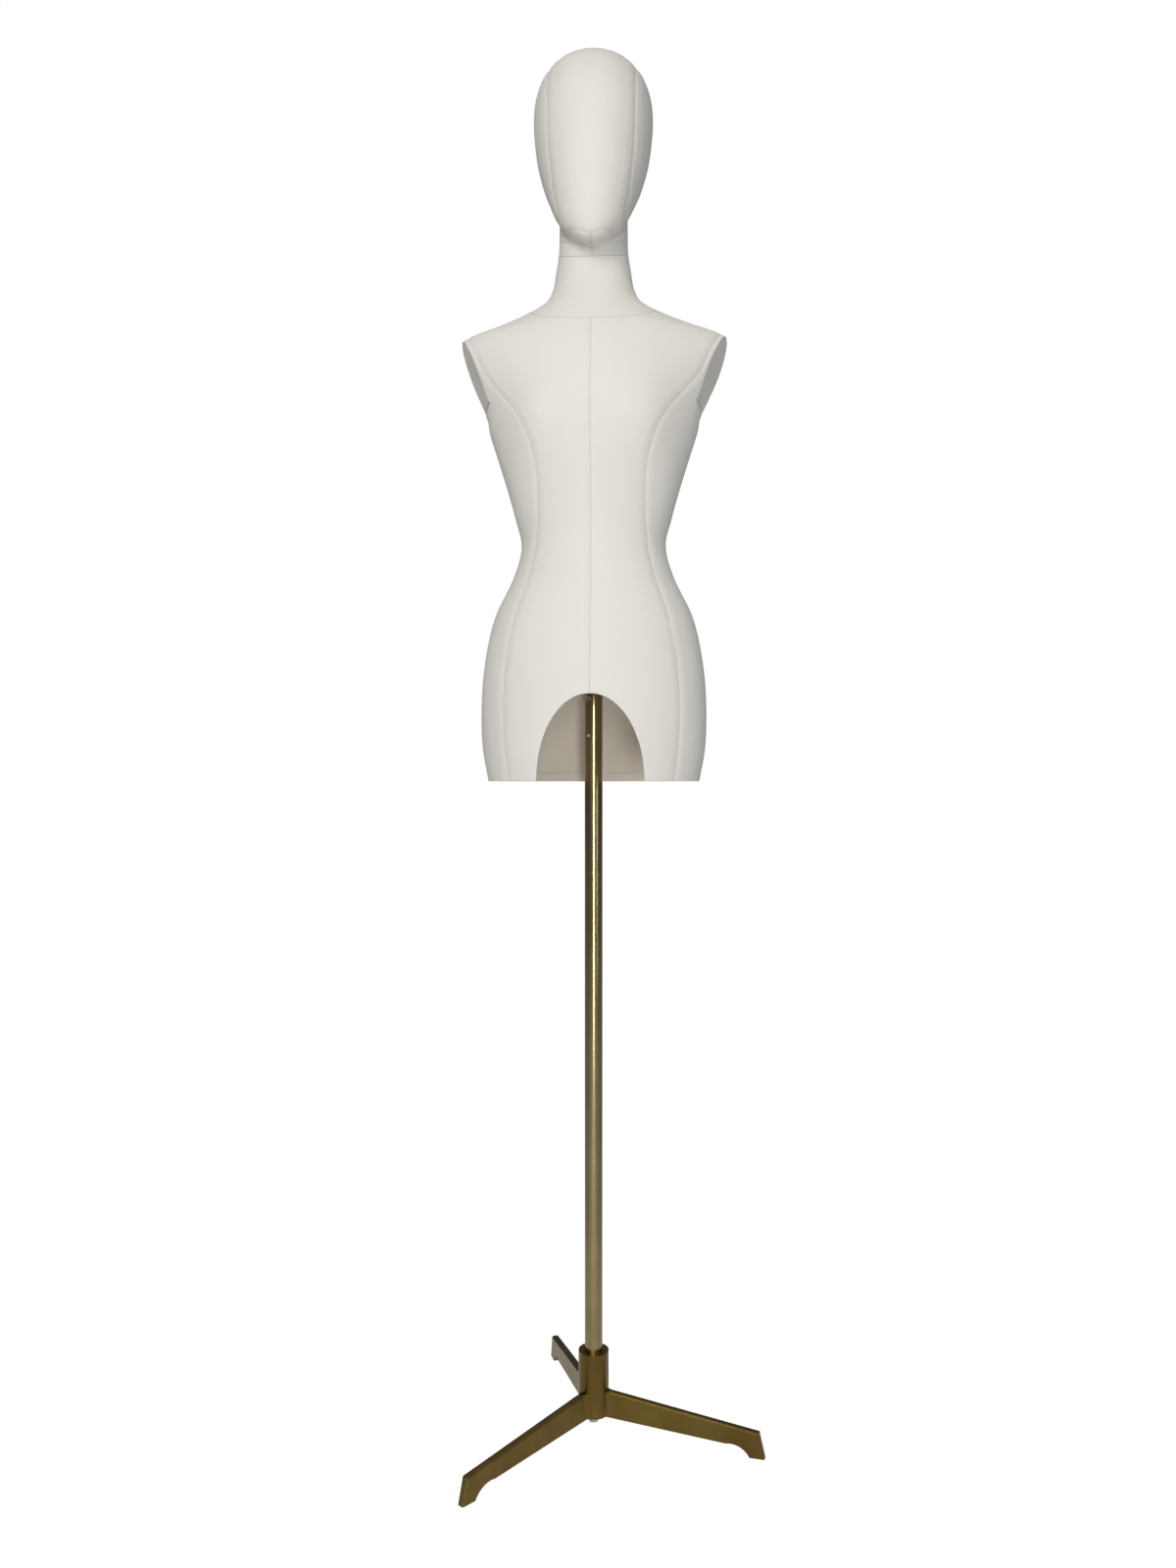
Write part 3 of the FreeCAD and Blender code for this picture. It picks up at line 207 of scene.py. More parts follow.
def canvas(name, light, shade, thread, depth):
    """Woven cotton: threads both ways, slubs, and a faint unevenness of colour."""
    made, tree, shader = new_material(name)
    shader.inputs["Sheen Weight"].default_value = 0.08
    shader.inputs["Sheen Roughness"].default_value = 0.5
    shader.inputs["Specular IOR Level"].default_value = 0.2
    place = object_place(tree, (1, 1, 1))
    warp = add_node(tree, "ShaderNodeTexWave", Vector=place, Scale=thread, Distortion=1.5,
                    Detail=2.0)
    warp.bands_direction = "X"
    weft = add_node(tree, "ShaderNodeTexWave", Vector=place, Scale=thread, Distortion=1.5,
                    Detail=2.0)
    weft.bands_direction = "Z"
    weave = add_node(tree, "ShaderNodeMath")
    weave.operation = "MULTIPLY"
    tree.links.new(warp.outputs["Fac"], weave.inputs[0])
    tree.links.new(weft.outputs["Fac"], weave.inputs[1])
    slubs = add_node(tree, "ShaderNodeTexNoise", Vector=object_place(tree, (60, 60, 420)),
                     Scale=1.0, Detail=3.0, Roughness=0.6)
    cloud = add_node(tree, "ShaderNodeTexNoise", Vector=place, Scale=7.0, Detail=3.0,
                     Roughness=0.5)
    tint = add_node(tree, "ShaderNodeMix")
    tint.data_type = "RGBA"
    tint.blend_type = "MULTIPLY"
    tint.inputs["Factor"].default_value = 0.35
    tree.links.new(ramp(tree, cloud.outputs["Fac"], (0.3, shade), (0.7, light)), tint.inputs["A"])
    tree.links.new(ramp(tree, weave.outputs[0], (0.0, (0.86, 0.85, 0.82)), (0.6, (1, 1, 1))),
                   tint.inputs["B"])
    tree.links.new(tint.outputs["Result"], shader.inputs["Base Color"])
    tree.links.new(spread(tree, cloud.outputs["Fac"], 0.86, 0.95), shader.inputs["Roughness"])
    rough = bump(tree, slubs.outputs["Fac"], 0.25, depth)
    tree.links.new(bump(tree, weave.outputs[0], 0.5, depth, rough), shader.inputs["Normal"])
    return made


cover_cloth = canvas("cover_canvas", (0.81, 0.792, 0.752), (0.785, 0.767, 0.727), 420, 0.00025)
lining_cloth = canvas("lining_cotton", (0.90, 0.83, 0.73), (0.87, 0.79, 0.685), 520, 0.0002)
paint(cover_cloth, "armhole_board_left", "armhole_board_right")

# ------------------------------------------------------------------ torso form
# The moulded body that the cover is stretched over, as closed sections from the hem up
# to the neck.  It is the shape that the sewn panels are laid on, and isn't itself shown.
HEM = 0.924
JOINT = HEM + 0.744
JOINT_SLOPE = math.radians(24)
COVER_DEPTH = 0.0015
SHELL_DEPTH = 0.005
SIDE_SEAM_Y = 0.004
BUST_RISE, BUST_SPACING = 0.013, 0.084
BUST_SPREAD, BUST_HEIGHT_SPREAD, BUST_LEVEL = 0.040, 0.046, 0.490
FORM_COLUMNS, FORM_STEPS = 264, 12

# Height above the hem, half width, depth in front and behind, thinning of the ends.
FORM_SECTIONS = np.array([
    (-0.045, 0.1400, 0.1030, 0.1090, 0.00),
    (0.000, 0.1490, 0.1080, 0.1160, 0.00),
    (0.045, 0.1570, 0.1120, 0.1220, 0.00),
    (0.090, 0.1590, 0.1140, 0.1240, 0.00),
    (0.140, 0.1570, 0.1120, 0.1170, 0.00),
    (0.190, 0.1500, 0.1080, 0.1050, 0.00),
    (0.235, 0.1380, 0.1020, 0.0940, 0.00),
    (0.285, 0.1140, 0.0920, 0.0870, 0.00),
    (0.330, 0.1020, 0.0860, 0.0860, 0.00),
    (0.370, 0.1105, 0.0880, 0.0900, 0.00),
    (0.415, 0.1230, 0.0950, 0.0970, 0.02),
    (0.455, 0.1355, 0.1020, 0.1030, 0.05),
    (0.490, 0.1465, 0.1060, 0.1060, 0.10),
    (0.514, 0.1515, 0.1050, 0.1070, 0.14),
    (0.545, 0.1680, 0.1000, 0.1060, 0.20),
    (0.578, 0.1890, 0.0930, 0.1020, 0.27),
    (0.604, 0.1970, 0.0840, 0.0950, 0.33),
    (0.624, 0.1860, 0.0760, 0.0860, 0.38),
    (0.640, 0.1420, 0.0690, 0.0780, 0.34),
    (0.654, 0.1040, 0.0630, 0.0720, 0.22),
    (0.671, 0.0710, 0.0580, 0.0670, 0.08),
    (0.692, 0.0580, 0.0525, 0.0620, 0.00),
    (0.718, 0.0530, 0.0495, 0.0565, 0.00),
    (0.748, 0.0490, 0.0485, 0.0510, 0.00),
    (0.790, 0.0485, 0.0500, 0.0450, 0.00),
    (0.832, 0.0485, 0.0500, 0.0420, 0.00)])
PRINCESS_SEAM = np.array([
    (-0.060, 0.108), (0.000, 0.113), (0.107, 0.120), (0.209, 0.108), (0.302, 0.081),
    (0.384, 0.073), (0.452, 0.080), (0.500, 0.102), (0.565, 0.149), (0.610, 0.170),
    (0.700, 0.214)])


def between_sections(sections, place):
    """Smooth rows between the sections; place counts sections and may be a fraction."""
    last = len(sections) - 1
    index = np.minimum(place.astype(int), last - 1)
    part = (place - index)[..., None]
    before, start, end, after = (sections[np.clip(index + step, 0, last)]
                                 for step in (-1, 0, 1, 2))
    return 0.5 * (2 * start + (end - before) * part
                  + (2 * before - 5 * start + 4 * end - after) * part ** 2
                  + (3 * start - before - 3 * end + after) * part ** 3)


def form_points(place, angle):
    """Points of the body at a place among its sections and an angle round it."""
    height, half, front, back, thin = np.moveaxis(between_sections(FORM_SECTIONS, place), -1, 0)
    cosine, sine = np.cos(angle), np.sin(angle)
    x = half * cosine
    y = np.where(sine > 0, back, front) * sine * (1 - thin * cosine ** 2)
    across = (np.abs(x) - BUST_SPACING) / BUST_SPREAD
    along = (height - BUST_LEVEL) / BUST_HEIGHT_SPREAD
    y += np.where(sine < 0, BUST_RISE * sine * np.exp(-across ** 2 - along ** 2), 0)
    return np.stack([x, y, height + HEM], axis=-1)


def moved_in(points_at, place, angle, depth):
    """Points of a form moved inwards along its normals."""
    points = points_at(place, angle)
    step = 0.02
    around = points_at(place, angle + step) - points_at(place, angle - step)
    top = place.max()
    low, high = np.maximum(place - step, 0), np.minimum(place + step, top)
    normal = np.cross(around, points_at(high, angle) - points_at(low, angle))
    normal /= np.linalg.norm(normal, axis=-1, keepdims=True) + 1e-12
    return points - normal * depth


def read_points(piece):
    flat = np.empty(len(piece.data.vertices) * 3)
    piece.data.vertices.foreach_get("co", flat)
    return flat.reshape(-1, 3)


def write_points(piece, points):
    piece.data.vertices.foreach_set("co", points.ravel())
    piece.data.update()


def make_active(piece):
    bpy.ops.object.select_all(action="DESELECT")
    piece.select_set(True)
    bpy.context.view_layer.objects.active = piece


def form_skin(name, points_at, first, last, steps, columns, depth=0.0):
    """A grid wrapped round a form between two of its sections and closed up behind."""
    rows = int(round((last - first) * steps)) + 1
    bpy.ops.object.select_all(action="DESELECT")
    bpy.ops.mesh.primitive_grid_add(x_subdivisions=columns, y_subdivisions=rows - 1, size=1)
    skin = bpy.context.object
    skin.name = name
    place, turn = np.meshgrid(np.linspace(first, last, rows),
                              np.linspace(0, 2 * math.pi, columns + 1) + math.pi / 2,
                              indexing="ij")
    write_points(skin, moved_in(points_at, place, turn, depth).reshape(-1, 3))
    bpy.ops.object.mode_set(mode="EDIT")
    bpy.ops.mesh.select_all(action="SELECT")
    bpy.ops.mesh.remove_doubles(threshold=0.00001)
    bpy.ops.mesh.normals_make_consistent(inside=False)
    bpy.ops.object.mode_set(mode="OBJECT")
    return skin


def seam_spacing(seam, height):
    """Smooth half spacing of a pair of seams at each height."""
    heights, values = seam[:, 0], seam[:, 1]
    slopes = np.gradient(values, heights)
    index = np.clip(np.searchsorted(heights, height) - 1, 0, len(heights) - 2)
    span = heights[index + 1] - heights[index]
    part = np.clip((height - heights[index]) / span, 0, 1)
    return ((2 * part ** 3 - 3 * part ** 2 + 1) * values[index]
            + (part ** 3 - 2 * part ** 2 + part) * span * slopes[index]
            + (3 * part ** 2 - 2 * part ** 3) * values[index + 1]
            + (part ** 3 - part ** 2) * span * slopes[index + 1])


ALLOWANCE_WIDTH, ALLOWANCE_RISE = 0.0090, 0.00035
ALLOWANCE_FADE = 0.0035
SEAM_CREASE, CREASE_WIDTH = 0.0008, 0.0022
SEAM_PULL, PULL_WIDTH = 0.0006, 0.011


def seam_relief(distance):
    """Height of the cloth beside a seam: pulled in at it, lifted by the allowance below."""
    part = np.clip((ALLOWANCE_WIDTH + ALLOWANCE_FADE - np.abs(distance)) / ALLOWANCE_FADE, 0, 1)
    return (ALLOWANCE_RISE * part * part * (3 - 2 * part)
            - SEAM_CREASE * np.exp(-(distance / CREASE_WIDTH) ** 2)
            - SEAM_PULL * np.exp(-(distance / PULL_WIDTH) ** 2))


# The princess seam's distance is taken across, so it is shortened by the seam's slant.
PRINCESS_SLANT, HEAD_SEAM_SLANT = 0.93, 0.95
# Above this height, over the neck, the body has no seams.
NECK_START, NECK_FADE = 0.672, 0.012
torso_skin = form_skin("torso_skin", form_points, 0.5, 24.4, FORM_STEPS, FORM_COLUMNS)
skin_points = read_points(torso_skin)
heights = skin_points[:, 2] - HEM
torso_seams = (skin_points[:, 0], skin_points[:, 1] - SIDE_SEAM_Y,
               (np.abs(skin_points[:, 0]) - seam_spacing(PRINCESS_SEAM, heights))
               * PRINCESS_SLANT)
nearest = np.argmin(np.abs(torso_seams), axis=0)
lift = seam_relief(np.take_along_axis(np.array(torso_seams), nearest[None], axis=0)[0])
lift *= np.clip((NECK_START - heights) / NECK_FADE, 0, 1)
flat_normals = np.empty(len(torso_skin.data.vertices) * 3)
torso_skin.data.vertices.foreach_get("normal", flat_normals)
write_points(torso_skin, skin_points + flat_normals.reshape(-1, 3) * lift[:, None])

# ------------------------------------------------------------------ torso cover
# Eight shaped canvas panels, sewn together inside out, turned and stretched over the
# body.  Every panel is cut from the same skin along its seams, and its edge rolls in.
ARCH_HALF_WIDTH, ARCH_HEIGHT = 0.073, 0.117
NECKLINE = Vector((0, 0, HEM + 0.671))
NECKLINE_NORMAL = Vector((0, -math.sin(math.radians(30)), math.cos(math.radians(30))))
ARMHOLE_LEAN, ARMHOLE_FORWARD = math.radians(19), math.radians(14)
ARMHOLE_TOP_X, ARMHOLE_TOP, ARMHOLE_BASE = 0.186, HEM + 0.619, HEM + 0.5175
ARMHOLE_MIDDLE, ARMHOLE_HALF, ARMHOLE_ROUND = -0.010, 0.045, 0.030
CLOTH = 0.0013


def copy_of(piece, name):
    """A copy of a piece with its own mesh."""
    made = piece.copy()
    made.data = piece.data.copy()
    made.name = name
    bpy.context.collection.objects.link(made)
    return made


def keep_side(piece, point, normal, bend=None, unbend=None, where=None, clear=True):
    """Cuts a piece along a plane and keeps the side that the normal points to.

    bend moves the points to a space in which a curved seam lies in that plane, and
    unbend moves them back.  where picks the part of the piece that may be cut.
    """
    if bend:
        write_points(piece, bend(read_points(piece)))
    make_active(piece)
    mesh = piece.data
    bpy.ops.object.mode_set(mode="EDIT")
    bpy.ops.mesh.select_mode(type="FACE")
    bpy.ops.mesh.select_all(action="SELECT" if where is None else "DESELECT")
    bpy.ops.object.mode_set(mode="OBJECT")
    if where is not None:
        centres = np.empty(len(mesh.polygons) * 3)
        mesh.polygons.foreach_get("center", centres)
        mesh.polygons.foreach_set("select", where(centres.reshape(-1, 3)))
    bpy.ops.object.mode_set(mode="EDIT")
    bpy.ops.mesh.bisect(plane_co=point, plane_no=normal, clear_inner=clear, threshold=0.000001)
    bpy.ops.object.mode_set(mode="OBJECT")
    if unbend:
        write_points(piece, unbend(read_points(piece)))
    return piece


def along_seam(seam, base, side):
    """The bending that lays one of a pair of mirrored seams in the plane x = 0."""
    def bend(points, sign=-1):
        points = points.copy()
        points[:, 0] += sign * side * seam_spacing(seam, points[:, 2] - base)
        return points
    return {"bend": bend, "unbend": lambda points: bend(points, 1)}


def arch_bend(points):
    """Lays the arch's ellipse in the plane z = 1."""
    across, up = points[:, 0] / ARCH_HALF_WIDTH, (points[:, 2] - HEM) / ARCH_HEIGHT
    return np.stack([np.arctan2(up, across), points[:, 1], np.hypot(across, up)], axis=-1)


def arch_unbend(points):
    """Bends the plane z = 1 back to the arch's ellipse."""
    angle, radius = points[:, 0], points[:, 2]
    return np.stack([radius * np.cos(angle) * ARCH_HALF_WIDTH, points[:, 1],
                     HEM + radius * np.sin(angle) * ARCH_HEIGHT], axis=-1)


def armhole_out(side):
    """The way that an armhole faces."""
    level = math.cos(ARMHOLE_LEAN)
    return Vector((side * level * math.cos(ARMHOLE_FORWARD), -level * math.sin(ARMHOLE_FORWARD),
                   -math.sin(ARMHOLE_LEAN)))


def armhole_point(side):
    """The top of an armhole."""
    return Vector((side * ARMHOLE_TOP_X, 0, ARMHOLE_TOP))


def rounded_base(points, sign=-1):
    """Lays the armhole's rounded lower edge in a level plane, or bends it back."""
    points = points.copy()
    points[:, 2] += sign * ARMHOLE_ROUND * ((points[:, 1] - ARMHOLE_MIDDLE) / ARMHOLE_HALF) ** 2
    return points


def over_armhole(side):
    """Picks the faces of one arm's stump."""
    return lambda centres: ((rounded_base(centres)[:, 2] > ARMHOLE_BASE)
                            & (centres[:, 0] * side > 0.1))


def open_armhole(piece, side):
    """Cuts the stump of one arm off along the armhole's plane, down to its rounded base."""
    keep_side(piece, (0, 0, ARMHOLE_BASE), UP, bend=rounded_base,
              unbend=lambda points: rounded_base(points, 1), clear=False)
    keep_side(piece, armhole_point(side), -armhole_out(side), where=over_armhole(side))


def modifier(piece, kind, **settings):
    """Adds a modifier with these settings and applies it."""
    make_active(piece)
    added = piece.modifiers.new(kind.lower(), kind)
    for name, value in settings.items():
        setattr(added, name, value)
    bpy.ops.object.modifier_apply(modifier=added.name)


def sew(piece, thickness=CLOTH):
    """Gives a cut panel its thickness and rolls its edges in."""
    make_active(piece)
    bpy.ops.object.mode_set(mode="EDIT")
    bpy.ops.mesh.select_all(action="SELECT")
    bpy.ops.mesh.remove_doubles(threshold=0.00008)
    bpy.ops.mesh.dissolve_degenerate(threshold=0.00005)
    bpy.ops.object.mode_set(mode="OBJECT")
    modifier(piece, "SOLIDIFY", thickness=thickness, offset=-1.0)
    modifier(piece, "BEVEL", width=thickness * 0.48, segments=3, limit_method="ANGLE",
             angle_limit=math.radians(55))
    bpy.ops.object.shade_smooth_by_angle(angle=math.radians(50))
    piece.data.materials.clear()
    piece.data.materials.append(cover_cloth)
    return piece


FORWARD, BACKWARD = Vector((0, -1, 0)), Vector((0, 1, 0))
UP, DOWN = Vector((0, 0, 1)), Vector((0, 0, -1))
SEAM_PLANE = Vector((0, SIDE_SEAM_Y, 0))
SEAM_GAP = 0.0003


def torso_quarter(facing, side):
    """One quarter of the torso's skin, trimmed at hem, neckline and armhole."""
    quarter = copy_of(torso_skin, "quarter")
    keep_side(quarter, (side * SEAM_GAP, 0, 0), Vector((side, 0, 0)))
    keep_side(quarter, SEAM_PLANE + facing * SEAM_GAP, facing)
    keep_side(quarter, (0, 0, HEM), UP)
    keep_side(quarter, NECKLINE - NECKLINE_NORMAL * SEAM_GAP, -NECKLINE_NORMAL)
    open_armhole(quarter, side)
    return quarter


# Each quarter of the skin is cut at its princess seam into a middle panel and a side panel, and the
# front middle panels are cut at the arch.
for facing, facing_word in ((FORWARD, "front"), (BACKWARD, "back")):
    for side, side_word in ((-1, "left"), (1, "right")):
        quarter = torso_quarter(facing, side)
        princess = along_seam(PRINCESS_SEAM, HEM, side)
        middle = copy_of(quarter, "cover_%s_%s_cloth" % (facing_word, side_word))
        keep_side(middle, (-side * SEAM_GAP, 0, 0), Vector((-side, 0, 0)), **princess)
        if facing is FORWARD:
            keep_side(middle, (0, 0, 1), UP, bend=arch_bend, unbend=arch_unbend)
        flank = copy_of(quarter, "cover_side_%s_%s_cloth" % (facing_word, side_word))
        keep_side(flank, (side * SEAM_GAP, 0, 0), Vector((side, 0, 0)), **princess)
        for piece, cut in ((middle, facing_word), (flank, "side_" + facing_word)):
            sew(piece)
            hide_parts(piece.name.replace("_cloth", ""))
            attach(piece, "torso")
        bpy.data.objects.remove(quarter)

# ------------------------------------------------------------------ neck cover
# One band of canvas round the neck, sewn to the body at the neckline and turned in at
# the flat joint below the head.
JOINT_POINT = Vector((0, 0, JOINT))
JOINT_NORMAL = Vector((0, -math.sin(JOINT_SLOPE), math.cos(JOINT_SLOPE)))
neck_cloth = copy_of(torso_skin, "cover_neck_cloth")
keep_side(neck_cloth, NECKLINE, NECKLINE_NORMAL)
keep_side(neck_cloth, JOINT_POINT, -JOINT_NORMAL)
sew(neck_cloth)
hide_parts("cover_neck")
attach(neck_cloth, "torso")

# ------------------------------------------------------------------ armhole covers
# A board covered in canvas closes each armhole.  Its cloth is drawn tight over a thin
# layer of wadding, so that it is slightly crowned and rounds off at the rim.
CAP_INSET, CAP_DEPTH, CAP_CLOTH = 0.0012, 0.0009, 0.0007
CAP_POINTS = 120


def armhole_outline(side):
    """The edge that the cut leaves in the skin, as evenly spaced points in order."""
    opened = copy_of(torso_skin, "opened")
    keep_side(opened, (0, 0, 0), Vector((side, 0, 0)))
    open_armhole(opened, side)
    edge = read_points(opened)
    bpy.data.objects.remove(opened)
    out, tip = np.array(armhole_out(side)), np.array(armhole_point(side))
    beyond = (edge - tip) @ out
    base = rounded_base(edge)[:, 2] - ARMHOLE_BASE
    edge = edge[(np.abs(beyond) < 0.000004) & (base > 0) & (edge[:, 0] * side > 0.1)]
    across = np.cross((0, 0, 1), out)
    across /= np.linalg.norm(across)
    upward = np.cross(out, across)
    middle = edge.mean(axis=0)
    order = np.argsort(np.arctan2((edge - middle) @ upward, (edge - middle) @ across))
    loop = edge[order]
    loop = np.vstack([loop, loop[:1]])
    length = np.concatenate([[0], np.cumsum(np.linalg.norm(np.diff(loop, axis=0), axis=1))])
    even = np.linspace(0, length[-1], CAP_POINTS, endpoint=False)
    points = np.stack([np.interp(even, length, loop[:, axis]) for axis in range(3)], axis=-1)
    along = np.roll(points, -1, axis=0) - np.roll(points, 1, axis=0)
    inward = np.cross(out, along)
    inward /= np.linalg.norm(inward, axis=1, keepdims=True)
    return points + inward * CAP_INSET - out * CAP_DEPTH


for side, side_word in ((-1, "left"), (1, "right")):
    bpy.ops.object.select_all(action="DESELECT")
    bpy.ops.mesh.primitive_circle_add(vertices=CAP_POINTS, fill_type="NOTHING")
    cap = bpy.context.object
    cap.name = "armhole_cover_%s_cloth" % side_word
    write_points(cap, armhole_outline(side))
    middle = read_points(cap).mean(axis=0)
    make_active(cap)
    bpy.ops.object.mode_set(mode="EDIT")
    bpy.ops.mesh.select_mode(type="EDGE")
    bpy.ops.mesh.select_all(action="SELECT")
    for narrowed, rise in ((0.994, 0.0004), (0.985, 0.0003), (0.96, 0.0002), (0.85, 0.0003),
                           (0.7, 0.0003), (0.4, 0.0002)):
        bpy.ops.mesh.extrude_region_move(
            TRANSFORM_OT_translate={"value": armhole_out(side) * rise})
        bpy.ops.transform.resize(value=(narrowed,) * 3, center_override=middle)
    bpy.ops.mesh.edge_face_add()
    bpy.ops.mesh.select_all(action="SELECT")
    bpy.ops.mesh.normals_make_consistent(inside=False)
    bpy.ops.object.mode_set(mode="OBJECT")
    if cap.data.polygons[-1].normal.dot(armhole_out(side)) < 0:
        cap.data.flip_normals()
    modifier(cap, "SOLIDIFY", thickness=CAP_CLOTH, offset=-1.0)
    bpy.ops.object.shade_smooth_by_angle(angle=math.radians(50))
    cap.data.materials.append(cover_cloth)
    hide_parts("armhole_cover_" + side_word)
    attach(cap, "torso")

# ------------------------------------------------------------------ lining and hem band
# Thin cotton lines the lower part of the shell, in two halves sewn behind, and a band
# finishes its lower edge.
LINING_HEIGHT, LINING_CLOTH = 0.235, 0.0007
BAND_HEIGHT, BAND_CLOTH = 0.013, 0.0009


def lining_piece(name, depth, height, thickness, side, base=0.0004):
    """A cloth inside the shell, from its lower edge to a height, open at the arch."""
    inner = form_skin(name, form_points, 0.6, 7.0, FORM_STEPS, FORM_COLUMNS, depth)
    keep_side(inner, (0, 0, HEM + base), UP)
    keep_side(inner, (0, 0, HEM + height), DOWN)
    if side:
        keep_side(inner, (0, 0, 0), Vector((side, 0, 0)))
    keep_side(inner, (0, 0, 1.004), UP, bend=arch_bend, unbend=arch_unbend,
              where=lambda centres: centres[:, 1] < 0)
    sew(inner, thickness)
    inner.data.materials[0] = lining_cloth
    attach(inner, "torso")
    return inner


for side, side_word in ((-1, "left"), (1, "right")):
    half_lining = lining_piece("lining_" + side_word, COVER_DEPTH + SHELL_DEPTH, LINING_HEIGHT,
                               LINING_CLOTH, side)
    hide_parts("torso_lining")
hem_band = lining_piece("hem_band_cloth", COVER_DEPTH + SHELL_DEPTH + 0.0008, BAND_HEIGHT,
                        BAND_CLOTH, 0)
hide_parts("hem_band")

# ------------------------------------------------------------------ arch facing
# A bias strip wraps the shell's raw edge round the arch.
FACING_DEPTH, FACING_CLOTH, FACING_POINTS = 0.0078, 0.0008, 96
FACING_INSET = 0.0002
HIP_SECTION_SPACING = 0.046


def front_depth(x, height):
    """How far forward the form's surface is at one place across and up."""
    place = np.interp(height, FORM_SECTIONS[:, 0], np.arange(len(FORM_SECTIONS)))
    for _ in range(4):
        miss = between_sections(FORM_SECTIONS, np.array([place]))[0][0] - height
        place -= miss / HIP_SECTION_SPACING
    half = between_sections(FORM_SECTIONS, np.array([place]))[0][1]
    angle = -math.acos(max(-1, min(1, x / half)))
    return form_points(np.array([place]), np.array([angle]))[0][1]


bpy.ops.object.select_all(action="DESELECT")
bpy.ops.mesh.primitive_grid_add(x_subdivisions=FACING_POINTS, y_subdivisions=4, size=1)
facing_strip = bpy.context.object
facing_strip.name = "arch_facing"
strip_points = []
for row in range(5):
    for column in range(FACING_POINTS + 1):
        turn = math.pi * (0.004 + 0.992 * column / FACING_POINTS)
        x = (ARCH_HALF_WIDTH - FACING_INSET) * math.cos(turn)
        height = (ARCH_HEIGHT - FACING_INSET) * math.sin(turn)
        y = front_depth(x, height) + 0.0004 + FACING_DEPTH * row / 4
        strip_points.append((x, y, HEM + height))
write_points(facing_strip, np.array(strip_points))
modifier(facing_strip, "SOLIDIFY", thickness=FACING_CLOTH, offset=0.0)
modifier(facing_strip, "BEVEL", width=0.0003, segments=2, limit_method="ANGLE",
         angle_limit=math.radians(50))
bpy.ops.object.mode_set(mode="EDIT")
bpy.ops.mesh.select_all(action="SELECT")
bpy.ops.mesh.normals_make_consistent(inside=False)
bpy.ops.object.mode_set(mode="OBJECT")
bpy.ops.object.shade_smooth_by_angle(angle=math.radians(50))
facing_strip.data.materials.append(cover_cloth)
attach(facing_strip, "torso")

# ------------------------------------------------------------------ head form
# An egg on a short neck that carries on from the torso's.  The two are blended where
# the jaw meets the neck.
CHIN = HEM + 0.729
CROWN_RISE = 0.287
HEAD_SECTIONS = np.array([
    (0.000, 0.0000, -0.0800, -0.0800),
    (0.003, 0.0140, -0.0900, -0.0670),
    (0.012, 0.0270, -0.0970, -0.0450),
    (0.028, 0.0420, -0.1020, -0.0150),
    (0.048, 0.0515, -0.1050, 0.0100),
    (0.072, 0.0600, -0.1065, 0.0340),
    (0.100, 0.0695, -0.1070, 0.0570),
    (0.133, 0.0775, -0.1070, 0.0760),
    (0.166, 0.0820, -0.1060, 0.0880),
    (0.198, 0.0840, -0.1030, 0.0930),
    (0.226, 0.0815, -0.0960, 0.0900),
    (0.250, 0.0730, -0.0840, 0.0800),
    (0.268, 0.0595, -0.0670, 0.0650),
    (0.279, 0.0430, -0.0480, 0.0470),
    (0.285, 0.0230, -0.0260, 0.0270),
    (CROWN_RISE, 0.0000, 0.0005, 0.0005)])
FACE_SEAM = np.array([(-0.05, 0.0), (0.004, 0.0), (0.017, 0.032), (0.051, 0.048),
                      (0.094, 0.055), (0.138, 0.059), (0.181, 0.060), (0.230, 0.060),
                      (0.400, 0.060)])
NAPE_SEAM = np.array([(-0.080, 0.026), (0.000, 0.032), (0.060, 0.044), (0.110, 0.054),
                      (0.160, 0.059), (0.230, 0.060), (0.400, 0.060)])


def head_points(place, angle):
    """Points of the egg at a place among its sections and an angle round it."""
    height, half, front, back = np.moveaxis(between_sections(HEAD_SECTIONS, place), -1, 0)
    x = np.maximum(half, 0) * np.cos(angle)
    y = (front + back) / 2 + (back - front) / 2 * np.sin(angle)
    return np.stack([x, y, height + CHIN], axis=-1)


head_skin = form_skin("head_skin", head_points, 0, 15, 8, 96)
neck_stub = form_skin("neck_stub", form_points, 21.5, 24.6, 8, 96)
bpy.ops.object.mode_set(mode="EDIT")
bpy.ops.mesh.select_all(action="DESELECT")
bpy.ops.mesh.select_mode(type="EDGE")
bpy.ops.mesh.select_non_manifold()
bpy.ops.mesh.edge_face_add()
bpy.ops.object.mode_set(mode="OBJECT")
bpy.ops.object.select_all(action="DESELECT")
neck_stub.select_set(True)
head_skin.select_set(True)
bpy.context.view_layer.objects.active = head_skin
bpy.ops.object.join()
BLEND_VOXEL, BLEND_ROUNDS = 0.0026, 14
modifier(head_skin, "REMESH", mode="VOXEL", voxel_size=BLEND_VOXEL)
modifier(head_skin, "SMOOTH", factor=0.5, iterations=BLEND_ROUNDS)
points = read_points(head_skin)
heights = points[:, 2] - CHIN
front = points[:, 1] < 0
spacing = np.where(front, seam_spacing(FACE_SEAM, heights), seam_spacing(NAPE_SEAM, heights))
lift = seam_relief((np.abs(points[:, 0]) - spacing) * HEAD_SEAM_SLANT)
flat_normals = np.empty(len(head_skin.data.vertices) * 3)
head_skin.data.vertices.foreach_get("normal", flat_normals)
write_points(head_skin, points + flat_normals.reshape(-1, 3) * lift[:, None])

# ------------------------------------------------------------------ head cover
# A strip of canvas runs from the chin over the face and crown to the nape, between two
# side pieces that meet under the chin.
JOINT_GAP = 0.0005
CHIN_FOLD_POINT = Vector((0, -0.086, CHIN + 0.001))
CHIN_FOLD = Vector((0, -0.64, 0.77))


